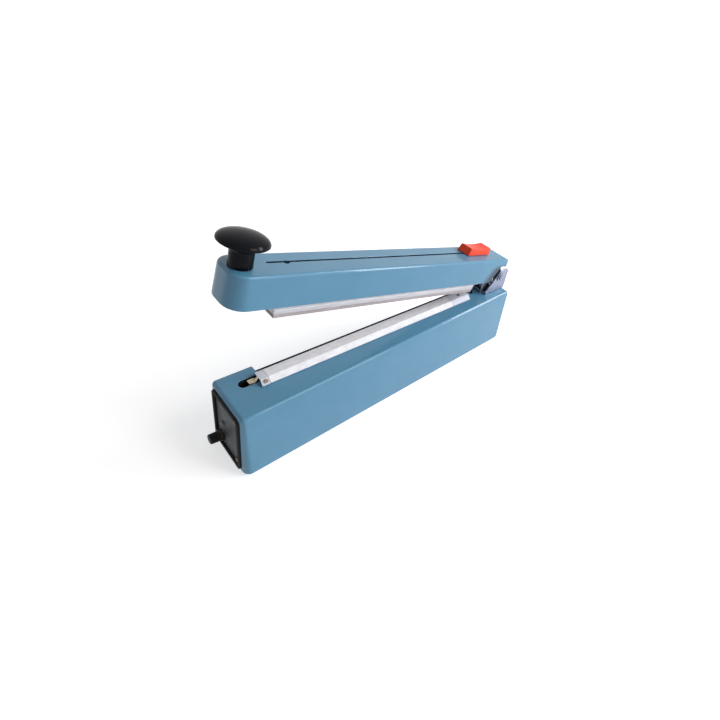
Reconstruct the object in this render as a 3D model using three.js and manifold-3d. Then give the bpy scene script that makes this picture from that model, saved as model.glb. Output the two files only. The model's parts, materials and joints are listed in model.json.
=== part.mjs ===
// Hand-pressed impulse sealer with a cutter in its arm. Millimetres, +Z up.
// +X runs from the control end to the hinge, and a bag comes in from the -Y side.
// The line y = 0 is the middle of the arm. Heights on the base start at the housing's lower edge.
import * as THREE from 'three';
import { mergeGeometries, mergeVertices } from 'three/addons/utils/BufferGeometryUtils.js';
import Module from 'manifold-3d';

const wasm = await Module();
wasm.setup();

// Fits
const seatGap = 0.3;
const foilGap = 0.2;
const overrun = 4;

// Base housing, a casting with an open underside
const baseLength = 320;
const baseHeight = 61.5;
const frontAtControl = 32.8;
const frontAtHinge = 20.3;
const backReach = 18.5;
const baseDraft = 3;
const baseCorner = 3.5;
const baseFillet = 3;
const baseWall = 3;
const topWall = 3.5;
const endWall = 5;
const ledgeStart = 34;
const ledgeEndFromHinge = 35;
const ledgeFront = 8;
const ledgeDrop = 8;
const ledgeCorner = 4;
const slotStart = 15;
const slotEnd = 33;
const slotWidth = 8;
const slotOffset = 2;

// Bottom cover with its screws and feet
const coverInset = 0.8;
const coverThick = 1.5;
const bossRadius = 4;
const bossHeight = 34;
const bossInset = 4.5;
const coverScrewRadius = 1.5;
const coverScrewHead = 2.9;
const coverScrewLength = 14;
const coverScrewFromControl = 40;
const coverScrewFromHinge = 20;
const headHeight = 1.6;
const footRadius = 6.5;
const footHeight = 4.4;
const footStem = 2.6;
const footInset = 15;
const footBackInset = 7.5;
const footFromEnd = 30;

// Control end: gasket, panel, timer and lamp
const gasketFrontMargin = 4.3;
const gasketBackMargin = 4;
const gasketTopMargin = 4;
const gasketBottomMargin = 2;
const gasketWidth = 3;
const gasketThick = 3.4;
const gasketProud = 1.8;
const gasketCorner = 3.5;
const panelThick = 1.5;
const panelFlange = 5.5;
const panelScrewInset = 3;
const panelScrewRadius = 1.1;
const panelScrewHead = 1.9;
const timerOffset = 5;
const timerHeight = 12;
const bushRadius = 3.5;
const shaftRadius = 2.4;
const nutRadius = 5.4;
const nutThick = 1.8;
const timerBodyRadius = 6.3;
const timerBodyLength = 7;
const knobRadius = 4.4;
const knobSkirt = 4.9;
const knobLength = 8.8;
const knobRibDepth = 0.35;
const lampOffset = 0.5;
const lampHeight = 30;
const lampRadius = 1.6;
const boardThick = 1.6;
const boardWidth = 30;
const boardHeight = 38;
const boardBottom = 9;
const relayLength = 12;
const relayWidth = 15;
const relayHeight = 16;

// Transformer on the bottom cover
const coreLength = 50;
const coreHeight = 42;
const coreStack = 20;
const coreLegShare = 0.16;
const coilRoom = 2.4;
const coilFlange = 1;
const coilFlangeRim = 0.7;
const transformerFromControl = 76;
const transformerOffset = -6;
const strapThick = 1.2;
const strapWidth = 14;
const strapFoot = 9;
const strapScrewRadius = 1.5;

// Sealing bar and the layers on it
const barStart = 32.2;
const barEndFromHinge = 52.3;
const barWidth = 15;
const barThick = 3;
const barOffset = -1;
const barFoot = 0.8;
const stripWidth = 8;
const stripThick = 0.5;
const elementWidth = 2.6;
const elementThick = 0.3;
const elementOffset = 0;
const sheetThick = 0.5;
const sheetFromBarStart = 4.6;
const hingeClampLength = 25.3;
const controlClampBeforeBar = 2.6;
const controlClampThick = 0.6;
const hingeClampHole = 3.8;
const hingeClampHoleWidth = 3.2;
const hingeClampHoleFromEnd = 11.4;
const clampScrewRadius = 0.9;
const clampScrewHead = 1.6;
const clampScrewHeadHeight = 0.9;
const clampScrewLength = 2;
const clampScrewFromBarEnd = 1.5;
const barPegRadius = 1.5;
const barPegOffset = 5.6;
const barPegLength = 6;
const barPegFromEnd = 7.2;

// Element terminal in the slot, and the fixed one at the other end
const insulatorLength = 14.5;
const insulatorWidth = 10;
const insulatorHeight = 9;
const terminalLength = 6.5;
const terminalWidth = 4.6;
const terminalOffset = 0;
const terminalFromControl = 26.4;
const tongueThick = 1.2;
const fixedTerminalSize = 7;

// Hinge bracket, pin and clips
const earFace = 11.4;
const bracketThick = 2;
const bracketLength = 29.7;
const bracketFromHinge = 0.7;
const earHeight = 24.2;
const earTopLength = 13.3;
const earCorner = 2;
const pinRadius = 2.5;
const pinFromHinge = 12.5;
const pinAboveBase = 16.8;
const pinRunning = 0.3;
const pinGroove = 0.5;
const clipThick = 0.8;
const clipRadius = 4.6;
const pinTail = 0.8;
const bracketScrewRadius = 1.9;
const bracketScrewHead = 3.2;
const bracketScrewSpan = 9.5;
const bracketScrewFromEnd = 5.2;
const springPostRadius = 2.6;
const springPostHeight = 5;
const springFromHinge = 25.6;

// Return spring
const springTurns = 8;
const springCoil = 4.1;
const springWire = 0.6;
const springSteps = 8;
const springSides = 5;

// Microswitch under the top wall, worked by the striker
const switchFromHinge = 40.5;
const switchLength = 20;
const switchWidth = 6.4;
const switchHeight = 11;
const switchRib = 3;
const switchScrewRadius = 1;
const switchScrewSpan = 9.5;
const plungerRadius = 1.7;
const plungerRise = 2.4;
const plungerInside = 6;
const plungerFlange = 0.8;

// Cable gland in the hinge end
const glandHeight = 20;
const glandOffset = -1;
const glandRadius = 5;
const glandFlange = 7.5;
const glandFlangeThick = 2.5;
const glandReach = 7;
const glandBore = 3.2;
const glandCup = 2;

// Arm cover, drawn closed with the hinge pin as its origin
const openAngle = 12.8;
const armTipFromControl = 1;
const armWidth = 33.4;
const armOffset = 1.2;
const armDepth = 24.5;
const armDraft = 1.4;
const armEndRadius = 12;
const armHingeRadius = 1.5;
const armFillet = 2.2;
const armWall = 2.2;
const armTopWall = 2.5;
const armTopAbovePin = 22.9;
const armEndBeforePin = 5;
const armNotchLength = 21;
const armNotchTopLength = 10.6;
const armNotchTopDepth = 9.1;
const armEndDepth = 8.3;
const lugOuter = 9.2;
const lugThick = 3;
const lugRadius = 6.2;
const lugRoot = 24;
const cutSlotNear = 29;
const cutSlotFromTip = 31.5;
const cutSlotWidth = 2.2;
const cutSlotOffset = 3;
const cutSlotEyeFromTip = 47;
const cutSlotEyeRadius = 2.4;
const railBossRadius = 4;
const railBossOffset = 6;
const handleBossRadius = 9;
const handleBossDepth = 4;
const strikerBossRadius = 4.5;
const strikerBossDepth = 4;

// Pressing rail and silicone strip
const railFromBarStart = 1.7;
const railPastBar = 0.8;
const railNose = 9;
const railTop = 25.3;
const railThick = 5.8;
const railFront = 14.4;
const railBack = 6.5;
const railStep = 1.9;
const railNeck = 6;
const siliconeInset = 0.3;
const siliconeThick = 2.8;
const railScrewRadius = 1.5;
const railScrewHead = 2.7;
const railScrewSink = 2.2;
const railScrewShares = [0.1, 0.5, 0.92];

// Handle knob and its bolt
const handleFromTip = 11.3;
const stemRadius = 8.3;
const stemHeight = 10.5;
const capRadius = 17.2;
const capRim = 17.2;
const capCrown = 23.2;
const boltRadius = 3;
const boltIntoKnob = 12;
const boltHead = 5.5;
const boltHeadHeight = 4;

// Striker under the arm
const strikerRadius = 1.6;
const strikerCap = 2.7;
const strikerCapLength = 5;

// Cutter: slider on the arm, shoe, blade and its screw inside
const sliderFromEnd = 39.5;
const sliderLength = 33;
const sliderWidth = 15.5;
const sliderHeight = 7;
const sliderDip = 1.6;
const sliderLean = 1.8;
const sliderTaper = 1;
const sliderOffset = 3.4;
const tongueWidth = 1.6;
const tongueLength = 18;
const tongueIntoSlider = 3.5;
const shoeLength = 23;
const shoeThick = 4;
const shoeFront = 1;
const shoeBack = 12.3;
const webThick = 2.4;
const webDepth = 29;
const webLength = 15;
const bladeThick = 0.6;
const bladeTop = 12;
const bladeTip = 38.4;
const bladeLength = 11;
const bladeScrewRadius = 1.3;
const bladeScrewHead = 2.4;
const bladeScrewDepth = 18;

// Values worked out from the sizes above
const controlX = -baseLength / 2;
const hingeX = baseLength / 2;
const footDrop = footHeight - coverInset + seatGap;
const baseTop = baseHeight;
const coverTop = coverInset + coverThick;
const topUnder = baseTop - topWall;
const ledgeFloor = baseTop - ledgeDrop;
const barBottom = baseTop + seatGap;
const barTop = barBottom + barThick;
const stripBottom = barTop + foilGap;
const elementBottom = stripBottom + stripThick + foilGap;
const elementTop = elementBottom + elementThick;
const sheetTop = elementTop + foilGap + sheetThick;
const pinX = hingeX - pinFromHinge;
const pinZ = baseTop + pinAboveBase;
const bracketFloor = baseTop + seatGap;
const bracketTop = bracketFloor + bracketThick;
const earTop = baseTop + earHeight;
const openRadians = THREE.MathUtils.degToRad(openAngle);
const armTop = armTopAbovePin;
const armUnder = armTop - armTopWall;
const armEndX = -armEndBeforePin;
const armLength = pinX - armEndBeforePin - controlX - armTipFromControl;
const switchX = hingeX - switchFromHinge;
const springX = hingeX - springFromHinge;
const barX0 = controlX + barStart;
const barX1 = hingeX - barEndFromHinge;
const sheetX0 = barX0 + sheetFromBarStart;
const sheetX1 = barX1 - hingeClampLength;

// Materials
const finishes = {
  enamel: { color: 0x6f9cc0, roughness: 0.42, metalness: 0.15 },
  aluminium: { color: 0xd3d5d8, roughness: 0.35, metalness: 0.9 },
  steel: { color: 0xb4b2ba, roughness: 0.4, metalness: 0.9 },
  darkSteel: { color: 0x2c2d2f, roughness: 0.5, metalness: 0.8 },
  brass: { color: 0x9a7646, roughness: 0.4, metalness: 0.9 },
  gloss: { color: 0x14150f, roughness: 0.18, metalness: 0 },
  matt: { color: 0x1b1c1e, roughness: 0.6, metalness: 0 },
  rubber: { color: 0x17181a, roughness: 0.85, metalness: 0 },
  red: { color: 0xe04a2c, roughness: 0.4, metalness: 0 },
  grey: { color: 0x6b7076, roughness: 0.45, metalness: 0.1 },
  white: { color: 0xe6e6e2, roughness: 0.5, metalness: 0 },
  silicone: { color: 0xc9a9a4, roughness: 0.7, metalness: 0 },
  lamp: { color: 0x6c4a78, roughness: 0.25, metalness: 0 },
  board: { color: 0x2f5f43, roughness: 0.6, metalness: 0 },
  laminated: { color: 0x57585c, roughness: 0.55, metalness: 0.7 },
  copper: { color: 0xa8623a, roughness: 0.45, metalness: 0.8 },
};
const materials = {};
for (const [name, values] of Object.entries(finishes)) {
  materials[name] = new THREE.MeshStandardMaterial(values);
}

// Shape helpers

function weld(geometry) {
  const bare = geometry.clone();
  bare.deleteAttribute('normal');
  bare.deleteAttribute('uv');
  const merged = mergeVertices(bare);
  const corners = merged.getIndex().array;
  const kept = [];
  for (let i = 0; i < corners.length; i += 3) {
    const [a, b, c] = [corners[i], corners[i + 1], corners[i + 2]];
    if (a !== b && b !== c && c !== a) {
      kept.push(a, b, c);
    }
  }
  merged.setIndex(kept);
  return merged;
}

function asSolid(geometry) {
  const welded = weld(geometry);
  const vertProperties = new Float32Array(welded.getAttribute('position').array);
  const triVerts = new Uint32Array(welded.getIndex().array);
  return new wasm.Manifold(new wasm.Mesh({ numProp: 3, vertProperties, triVerts }));
}

function asGeometry(solid) {
  const mesh = solid.getMesh();
  const geometry = new THREE.BufferGeometry();
  geometry.setAttribute('position', new THREE.BufferAttribute(new Float32Array(mesh.vertProperties), 3));
  geometry.setIndex(Array.from(mesh.triVerts));
  return geometry;
}

function shaped(body, added, cut) {
  let solid = asSolid(body);
  for (const geometry of added) {
    solid = solid.add(asSolid(geometry));
  }
  for (const geometry of cut) {
    solid = solid.subtract(asSolid(geometry));
  }
  return asGeometry(solid);
}

function block(x0, x1, y0, y1, z0, z1) {
  const geometry = new THREE.BoxGeometry(x1 - x0, y1 - y0, z1 - z0);
  return geometry.translate((x0 + x1) / 2, (y0 + y1) / 2, (z0 + z1) / 2);
}

function rod(radius, from, to, sides = 20) {
  const line = to.clone().sub(from);
  const geometry = new THREE.CylinderGeometry(radius, radius, line.length(), sides);
  geometry.applyQuaternion(new THREE.Quaternion().setFromUnitVectors(
    new THREE.Vector3(0, 1, 0), line.clone().normalize()));
  return geometry.translate(...from.clone().add(to).multiplyScalar(1 / 2).toArray());
}

function uprightRod(radius, x, y, z0, z1, sides = 20) {
  return rod(radius, new THREE.Vector3(x, y, z0), new THREE.Vector3(x, y, z1), sides);
}

// A turned shape about an upright axis through x, y. The profile holds radius and height.
function turned(profile, x, y, sides = 28) {
  const points = profile.map(([radius, height]) => new THREE.Vector2(radius, height));
  const geometry = new THREE.LatheGeometry(points, sides);
  return geometry.rotateX(Math.PI / 2).translate(x, y, 0);
}

function flatShape(points) {
  return new THREE.Shape(points.map(([u, v]) => new THREE.Vector2(u, v)));
}

function planExtrusion(shape, z0, z1) {
  const geometry = new THREE.ExtrudeGeometry(shape,
    { depth: z1 - z0, bevelEnabled: false, curveSegments: 6 });
  return geometry.translate(0, 0, z0);
}

// A profile in x and z, run across from y0 to y1
function acrossExtrusion(shape, y0, y1) {
  const geometry = planExtrusion(shape, 0, y1 - y0);
  return geometry.rotateX(Math.PI / 2).translate(0, y1, 0);
}

// A profile in y and z, run along from x0 to x1
function alongExtrusion(shape, x0, x1) {
  const geometry = planExtrusion(shape, 0, x1 - x0);
  const basis = new THREE.Matrix4().makeBasis(
    new THREE.Vector3(0, 1, 0), new THREE.Vector3(0, 0, 1), new THREE.Vector3(1, 0, 0));
  return geometry.applyMatrix4(basis).translate(x0, 0, 0);
}

function sideNormal(from, to) {
  const side = to.clone().sub(from).normalize();
  return new THREE.Vector2(side.y, -side.x);
}

// A counterclockwise outline moved out by grow, with each corner an arc
function roundedPlan(corners, radii, grow, steps) {
  const count = corners.length;
  const points = [];
  corners.forEach((corner, i) => {
    const before = sideNormal(corners[(i + count - 1) % count], corner);
    const after = sideNormal(corner, corners[(i + 1) % count]);
    const spread = before.clone().add(after).divideScalar(1 + before.dot(after));
    const radius = Math.max(radii[i] + grow, seatGap);
    const centre = corner.clone().addScaledVector(spread, grow - radius);
    const start = before.angle();
    const turn = (after.angle() - start + 2 * Math.PI) % (2 * Math.PI);
    for (let step = 0; step <= steps; step += 1) {
      const angle = start + turn * step / steps;
      points.push(new THREE.Vector2(centre.x + radius * Math.cos(angle),
        centre.y + radius * Math.sin(angle)));
    }
  });
  return points;
}

// A closed skin through rings of equal counts, from the lowest to the highest
function loft(rings) {
  const count = rings[0].length;
  const positions = rings.flat().flatMap((point) => point.toArray());
  const index = [];
  for (let ring = 0; ring + 1 < rings.length; ring += 1) {
    for (let i = 0; i < count; i += 1) {
      const j = (i + 1) % count;
      const [a, b] = [ring * count + i, ring * count + j];
      index.push(a, b, b + count, a, b + count, a + count);
    }
  }
  const outline = rings[0].map((point) => new THREE.Vector2(point.x, point.y));
  const last = (rings.length - 1) * count;
  for (const [a, b, c] of THREE.ShapeUtils.triangulateShape(outline, [])) {
    index.push(c, b, a, last + a, last + b, last + c);
  }
  const geometry = new THREE.BufferGeometry();
  geometry.setAttribute('position', new THREE.Float32BufferAttribute(positions, 3));
  geometry.setIndex(index);
  return geometry;
}

// A drafted block with a rounded upper edge: growAt gives how far each height stands out
function draftedBlock(corners, radii, growAt, z0, z1, fillet, steps) {
  const ring = (grow, z) => roundedPlan(corners, radii, grow, steps)
    .map((point) => new THREE.Vector3(point.x, point.y, z));
  const rings = [ring(growAt(z0), z0)];
  const arcSteps = fillet > 0 ? 4 : 0;
  for (let step = 0; step <= arcSteps; step += 1) {
    const angle = arcSteps > 0 ? (Math.PI / 2) * step / arcSteps : 0;
    const z = z1 - fillet + fillet * Math.sin(angle);
    rings.push(ring(growAt(z) - fillet * (1 - Math.cos(angle)), z));
  }
  return loft(rings);
}

// A tube along a list of points with a carried frame, closed at both ends
function wire(points, radius, sides) {
  const positions = [];
  const index = [];
  let across = new THREE.Vector3(0, 1, 0);
  points.forEach((point, i) => {
    const before = points[Math.max(i - 1, 0)];
    const after = points[Math.min(i + 1, points.length - 1)];
    const along = after.clone().sub(before).normalize();
    across = across.clone().addScaledVector(along, -across.dot(along)).normalize();
    const third = along.clone().cross(across);
    for (let side = 0; side < sides; side += 1) {
      const angle = 2 * Math.PI * side / sides;
      const edge = point.clone().addScaledVector(across, radius * Math.cos(angle))
        .addScaledVector(third, radius * Math.sin(angle));
      positions.push(edge.x, edge.y, edge.z);
    }
    if (i > 0) {
      for (let side = 0; side < sides; side += 1) {
        const a = (i - 1) * sides + side;
        const b = (i - 1) * sides + (side + 1) % sides;
        index.push(a, b, b + sides, a, b + sides, a + sides);
      }
    }
  });
  const last = (points.length - 1) * sides;
  for (let side = 1; side + 1 < sides; side += 1) {
    index.push(0, side + 1, side, last, last + side, last + side + 1);
  }
  const geometry = new THREE.BufferGeometry();
  geometry.setAttribute('position', new THREE.Float32BufferAttribute(positions, 3));
  geometry.setIndex(index);
  return geometry;
}

// A strip of one thickness that follows a line in x and z, its given side first
function foldedStrip(line, thickness) {
  const offset = line.map((point, i) => {
    const before = line[Math.max(i - 1, 0)];
    const after = line[Math.min(i + 1, line.length - 1)];
    const ahead = new THREE.Vector2(after[0] - point[0], after[1] - point[1]);
    const behind = new THREE.Vector2(point[0] - before[0], point[1] - before[1]);
    const first = i > 0 ? behind.normalize() : ahead.clone().normalize();
    const second = i + 1 < line.length ? ahead.normalize() : first.clone();
    const normal = new THREE.Vector2(-first.y - second.y, first.x + second.x);
    normal.divideScalar(1 + first.dot(second));
    return [point[0] + thickness * normal.x, point[1] + thickness * normal.y];
  });
  return flatShape([...line, ...offset.reverse()]);
}

function ringShape(outer, inner) {
  const shape = new THREE.Shape(outer);
  shape.holes.push(new THREE.Path([...inner].reverse()));
  return shape;
}

function rectangle(u0, u1, v0, v1) {
  return [new THREE.Vector2(u0, v0), new THREE.Vector2(u1, v0), new THREE.Vector2(u1, v1),
    new THREE.Vector2(u0, v1)];
}

function evenRadii(radius) {
  return [radius, radius, radius, radius];
}

function place(parent, name, finish, geometry) {
  const mesh = new THREE.Mesh(weld(geometry), materials[finish]);
  mesh.name = name;
  parent.add(mesh);
  return mesh;
}

// Base housing

function frontAt(x) {
  return THREE.MathUtils.mapLinear(x, controlX, hingeX, frontAtControl, frontAtHinge);
}

function baseGrow(z) {
  return baseDraft * (1 - z / baseHeight);
}

const basePlan = [
  new THREE.Vector2(controlX, -frontAtControl),
  new THREE.Vector2(hingeX, -frontAtHinge),
  new THREE.Vector2(hingeX, backReach),
  new THREE.Vector2(controlX, backReach),
];
const cavityPlan = basePlan.map((corner) => new THREE.Vector2(
  corner.x < 0 ? corner.x + endWall - baseWall : corner.x, corner.y));

const coverScrewPlaces = [controlX + coverScrewFromControl, hingeX - coverScrewFromHinge].flatMap((x) => [
  [x, -frontAt(x) + bossInset], [x, backReach - bossInset]]);
const footPlaces = [controlX + footFromEnd, hingeX - footFromEnd].flatMap((x) => [
  [x, -frontAt(x) + footInset], [x, backReach - footBackInset]]);

// The control end leans with the draft, so what it carries is drawn in a frame that leans with it.
const endFrame = new THREE.Group();
endFrame.position.set(controlX - baseDraft, 0, 0);
endFrame.rotation.y = Math.atan2(baseDraft, baseHeight);
endFrame.updateMatrix();
const gasketY0 = -frontAtControl + gasketFrontMargin;
const gasketY1 = backReach - gasketBackMargin;
const gasketZ0 = gasketBottomMargin;
const gasketZ1 = baseHeight - gasketTopMargin;
const recessDepth = gasketThick - gasketProud + seatGap;
const panelGrow = -gasketWidth - seatGap;
const panelBack = recessDepth - seatGap;
const panelFace = panelBack - panelThick;
const panelScrewY = gasketY0 - panelGrow + panelScrewInset;
const panelScrewZs = [gasketZ0 - panelGrow + panelScrewInset, gasketZ1 + panelGrow - panelScrewInset];

function gasketPlan(grow) {
  return roundedPlan(rectangle(gasketY0, gasketY1, gasketZ0, gasketZ1), evenRadii(gasketCorner), grow, 4);
}

function onEnd(geometry) {
  return geometry.applyMatrix4(endFrame.matrix);
}

function endRod(radius, y, z, x0, x1, sides = 20) {
  return rod(radius, new THREE.Vector3(x0, y, z), new THREE.Vector3(x1, y, z), sides);
}

function obround(x0, x1, y, width, steps) {
  return new THREE.Shape(roundedPlan(
    rectangle(x0, x1, y - width / 2, y + width / 2), evenRadii(width / 2 - seatGap / overrun), 0, steps));
}

function hingeEndFlat(x0, x1, y, z, radius) {
  return rod(radius, new THREE.Vector3(x0, y, z), new THREE.Vector3(x1, y, z));
}

const clampScrewX = barX0 + clampScrewFromBarEnd;
const hingeClampScrewX = barX1 - barPegFromEnd;
const barPegXs = [barX0 + barPegFromEnd, barX1 - barPegFromEnd];
const terminalX = controlX + terminalFromControl;
const elementDropX = barX1 - hingeClampHoleFromEnd;
const insulatorX = controlX + slotStart + insulatorLength / 2 + seatGap;

function makeHousing() {
  const outer = draftedBlock(basePlan, evenRadii(baseCorner), baseGrow, 0, baseTop, baseFillet, 5);
  const inside = (z) => baseGrow(z) - baseWall;
  const cavity = draftedBlock(cavityPlan, evenRadii(baseCorner), inside, -overrun, topUnder, 0, 5);
  const step = block(controlX + ledgeStart - topWall, hingeX - ledgeEndFromHinge + topWall,
    ledgeFront - topWall, backReach + overrun, topUnder - ledgeDrop, baseTop);
  const hollow = shaped(cavity, [], [step]);
  const ledge = planExtrusion(new THREE.Shape(roundedPlan(
    rectangle(controlX + ledgeStart, hingeX - ledgeEndFromHinge, ledgeFront,
      backReach + baseDraft + overrun),
    evenRadii(ledgeCorner), 0, 4)), ledgeFloor, baseTop + overrun);
  const slot = planExtrusion(obround(controlX + slotStart, controlX + slotEnd, slotOffset, slotWidth, 5),
    topUnder - overrun, baseTop + overrun);
  const recess = onEnd(alongExtrusion(new THREE.Shape(gasketPlan(seatGap)), -overrun, recessDepth));
  const panelWindow = onEnd(alongExtrusion(
    new THREE.Shape(gasketPlan(-gasketWidth - panelFlange)), -overrun, endWall + overrun));
  const bushHole = onEnd(endRod(bushRadius + seatGap, timerOffset, timerHeight, -overrun,
    endWall + overrun));
  const panelHoles = panelScrewZs.map((z) => onEnd(endRod(
    panelScrewRadius + foilGap, panelScrewY, z, -overrun, endWall + overrun, 12)));
  const shell = shaped(outer, [], [hollow, ledge, slot, recess, panelWindow, bushHole, ...panelHoles]);
  const bosses = coverScrewPlaces.map(([x, y]) => uprightRod(bossRadius, x, y, coverTop + seatGap,
    bossHeight));
  const holes = coverScrewPlaces.map(([x, y]) => uprightRod(
    coverScrewRadius + seatGap, x, y, 0, coverScrewLength + coverInset + seatGap, 12));
  const rib = block(switchX - switchLength / 2, switchX + switchLength / 2, switchWidth / 2 + seatGap,
    switchWidth / 2 + seatGap + switchRib, topUnder - switchHeight, topUnder + topWall / 2);
  const topHoles = [
    uprightRod(plungerRadius + seatGap, switchX, 0, topUnder - overrun, baseTop + overrun, 16),
    ...barPegXs.map((x) => uprightRod(
      barPegRadius + seatGap, x, barOffset - barPegOffset, topUnder - overrun, baseTop + overrun, 12)),
    block(elementDropX - elementWidth, elementDropX + elementWidth, elementOffset - elementWidth,
      elementOffset + elementWidth, topUnder - overrun, baseTop + overrun),
    ...bracketScrewXs.map((x) => uprightRod(
      bracketScrewRadius + seatGap, x, 0, topUnder - overrun, baseTop + overrun, 12)),
  ];
  const ribHoles = switchScrewXs.map((x) => rod(switchScrewRadius + seatGap,
    new THREE.Vector3(x, 0, switchScrewZ), new THREE.Vector3(x, switchWidth + switchRib + overrun,
      switchScrewZ), 10));
  const glandHole = hingeEndFlat(hingeX - overrun - baseWall, hingeX + overrun + baseDraft,
    glandOffset, glandHeight, glandRadius + seatGap);
  return shaped(shell, [...bosses, rib], [...holes, ...topHoles, ...ribHoles, glandHole]);
}

// Hinge bracket places that the housing also uses
const bracketX1 = hingeX - bracketFromHinge;
const bracketX0 = bracketX1 - bracketLength;
const bracketScrewXs = [bracketX1 - bracketScrewFromEnd,
  bracketX1 - bracketScrewFromEnd - bracketScrewSpan];
const switchScrewXs = [switchX - switchScrewSpan / 2, switchX + switchScrewSpan / 2];
const switchBottom = topUnder - seatGap - switchHeight;
const switchScrewZ = switchBottom + switchScrewRadius * 2;

const machine = new THREE.Group();
const base = new THREE.Group();
base.position.z = footDrop;
machine.add(base);
place(base, 'base_housing', 'enamel', makeHousing());

// Bottom cover, feet and cover screws

function makeCover() {
  const outline = new THREE.Shape(roundedPlan(
    cavityPlan, evenRadii(baseCorner), baseGrow(coverTop) - baseWall - seatGap, 5));
  const plate = planExtrusion(outline, coverInset, coverTop);
  const holes = coverScrewPlaces.map(([x, y]) => uprightRod(
    coverScrewRadius + seatGap, x, y, coverInset - overrun, coverTop + overrun, 12));
  const stems = footPlaces.map(([x, y]) => uprightRod(
    footStem + seatGap, x, y, coverInset - overrun, coverTop + overrun, 14));
  const strapHoles = strapScrewXs.map((x) => uprightRod(
    strapScrewRadius + seatGap, x, transformerOffset, coverInset - overrun, coverTop + overrun, 12));
  return shaped(plate, [], [...holes, ...stems, ...strapHoles]);
}

function makeFoot(x, y) {
  const top = coverInset - seatGap;
  const bottom = top - footHeight;
  const chamfer = footStem / 3;
  return turned([
    [0, bottom], [footRadius - chamfer, bottom], [footRadius, bottom + chamfer],
    [footRadius, top - chamfer / 2], [footRadius - chamfer / 2, top], [footStem, top],
    [footStem, coverTop + seatGap], [footStem + 2 * seatGap, coverTop + seatGap],
    [footStem * 3 / 4, coverTop + footStem / 2], [0, coverTop + footStem / 2],
  ], x, y, 20);
}

// A screw that stands upright, head down, with its head's upper face at z
function headDownScrew(x, y, z, radius, head, height, length) {
  return turned([
    [0, z - height], [head * 3 / 4, z - height], [head, z - height / 2], [head, z],
    [radius, z], [radius, z + length - radius / 2], [radius / 2, z + length], [0, z + length],
  ], x, y, 16);
}

// A screw that stands upright, head up, with its head's lower face at z
function headUpScrew(x, y, z, radius, head, height, length) {
  return turned([
    [0, z - length], [radius / 2, z - length], [radius, z - length + radius / 2], [radius, z],
    [head, z], [head, z + height / 2], [head * 3 / 4, z + height], [0, z + height],
  ], x, y, 16);
}

const transformerX = controlX + transformerFromControl;
const strapHalf = coreLength / 2 + seatGap;
const strapScrewReach = strapHalf + strapThick + strapFoot / 2;
const strapScrewXs = [transformerX - strapScrewReach, transformerX + strapScrewReach];
place(base, 'bottom_cover', 'steel', makeCover());
footPlaces.forEach(([x, y], i) => place(base, `foot_${i + 1}`, 'rubber', makeFoot(x, y)));
coverScrewPlaces.forEach(([x, y], i) => place(base, `cover_screw_${i + 1}`, 'steel', headDownScrew(
  x, y, coverInset - seatGap, coverScrewRadius, coverScrewHead, headHeight, coverScrewLength)));

// Control end

const controlEnd = new THREE.Group();
controlEnd.position.copy(endFrame.position);
controlEnd.rotation.copy(endFrame.rotation);
base.add(controlEnd);
const timerBodyFace = endWall + baseDraft / 2;
const timerBodyBack = timerBodyFace + timerBodyLength;
const nutBack = panelFace - foilGap;
const nutFace = nutBack - nutThick;
const knobBack = nutFace - seatGap;
const knobFace = knobBack - knobLength;

function leanedScrew(y, z) {
  const length = endWall;
  const screw = headUpScrew(0, 0, -panelFace + foilGap, panelScrewRadius, panelScrewHead,
    panelScrewRadius, length);
  return screw.rotateY(-Math.PI / 2).translate(0, y, z);
}

function makePanel() {
  const plate = alongExtrusion(new THREE.Shape(gasketPlan(panelGrow)), panelFace, panelBack);
  const bushHole = endRod(bushRadius + seatGap, timerOffset, timerHeight, -overrun, overrun);
  const lampHole = endRod(lampRadius + seatGap, lampOffset, lampHeight, -overrun, overrun, 14);
  const screwHoles = panelScrewZs.map((z) => endRod(
    panelScrewRadius + foilGap, panelScrewY, z, -overrun, overrun, 12));
  return shaped(plate, [], [bushHole, lampHole, ...screwHoles]);
}

function makeTimerBody() {
  const body = endRod(timerBodyRadius, timerOffset, timerHeight, timerBodyFace, timerBodyBack, 24);
  const bush = endRod(bushRadius, timerOffset, timerHeight, nutFace + seatGap,
    timerBodyFace + overrun / 2);
  const bore = endRod(shaftRadius + seatGap, timerOffset, timerHeight, -overrun,
    timerBodyBack - coilFlange, 16);
  return shaped(body, [bush], [bore]);
}

function makeTimerNut() {
  const hexagon = endRod(nutRadius, timerOffset, timerHeight, nutFace, nutBack, 6);
  const bore = endRod(bushRadius + foilGap, timerOffset, timerHeight, -overrun, overrun);
  return shaped(hexagon, [], [bore]);
}

// The knob's grip is fluted: ribs stand between shallow valleys all round. Its shaft is moulded in.
function makeTimerKnob() {
  const ribs = 18;
  const outline = [];
  for (let i = 0; i < ribs * 2; i += 1) {
    const radius = knobRadius - (i % 2) * knobRibDepth;
    const angle = Math.PI * i / ribs;
    outline.push(new THREE.Vector2(timerOffset + radius * Math.cos(angle),
      timerHeight + radius * Math.sin(angle)));
  }
  const grip = alongExtrusion(new THREE.Shape(outline), knobFace + knobRibDepth * 2, knobBack);
  const cap = endRod(knobRadius - knobRibDepth * 2, timerOffset, timerHeight, knobFace,
    knobBack - overrun / 2, 24);
  const skirt = endRod(knobSkirt, timerOffset, timerHeight, knobBack - knobLength / 6, knobBack, 24);
  const shaft = endRod(shaftRadius, timerOffset, timerHeight, knobBack - overrun / 2,
    timerBodyBack - coilFlange - seatGap, 16);
  return shaped(grip, [cap, skirt, shaft], []);
}

function makeLamp() {
  const back = timerBodyBack - seatGap;
  const dome = headUpScrew(0, 0, -panelBack, lampRadius, lampRadius, lampRadius + panelThick + foilGap,
    back - panelBack);
  return dome.rotateY(-Math.PI / 2).translate(0, lampOffset, lampHeight);
}

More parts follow.
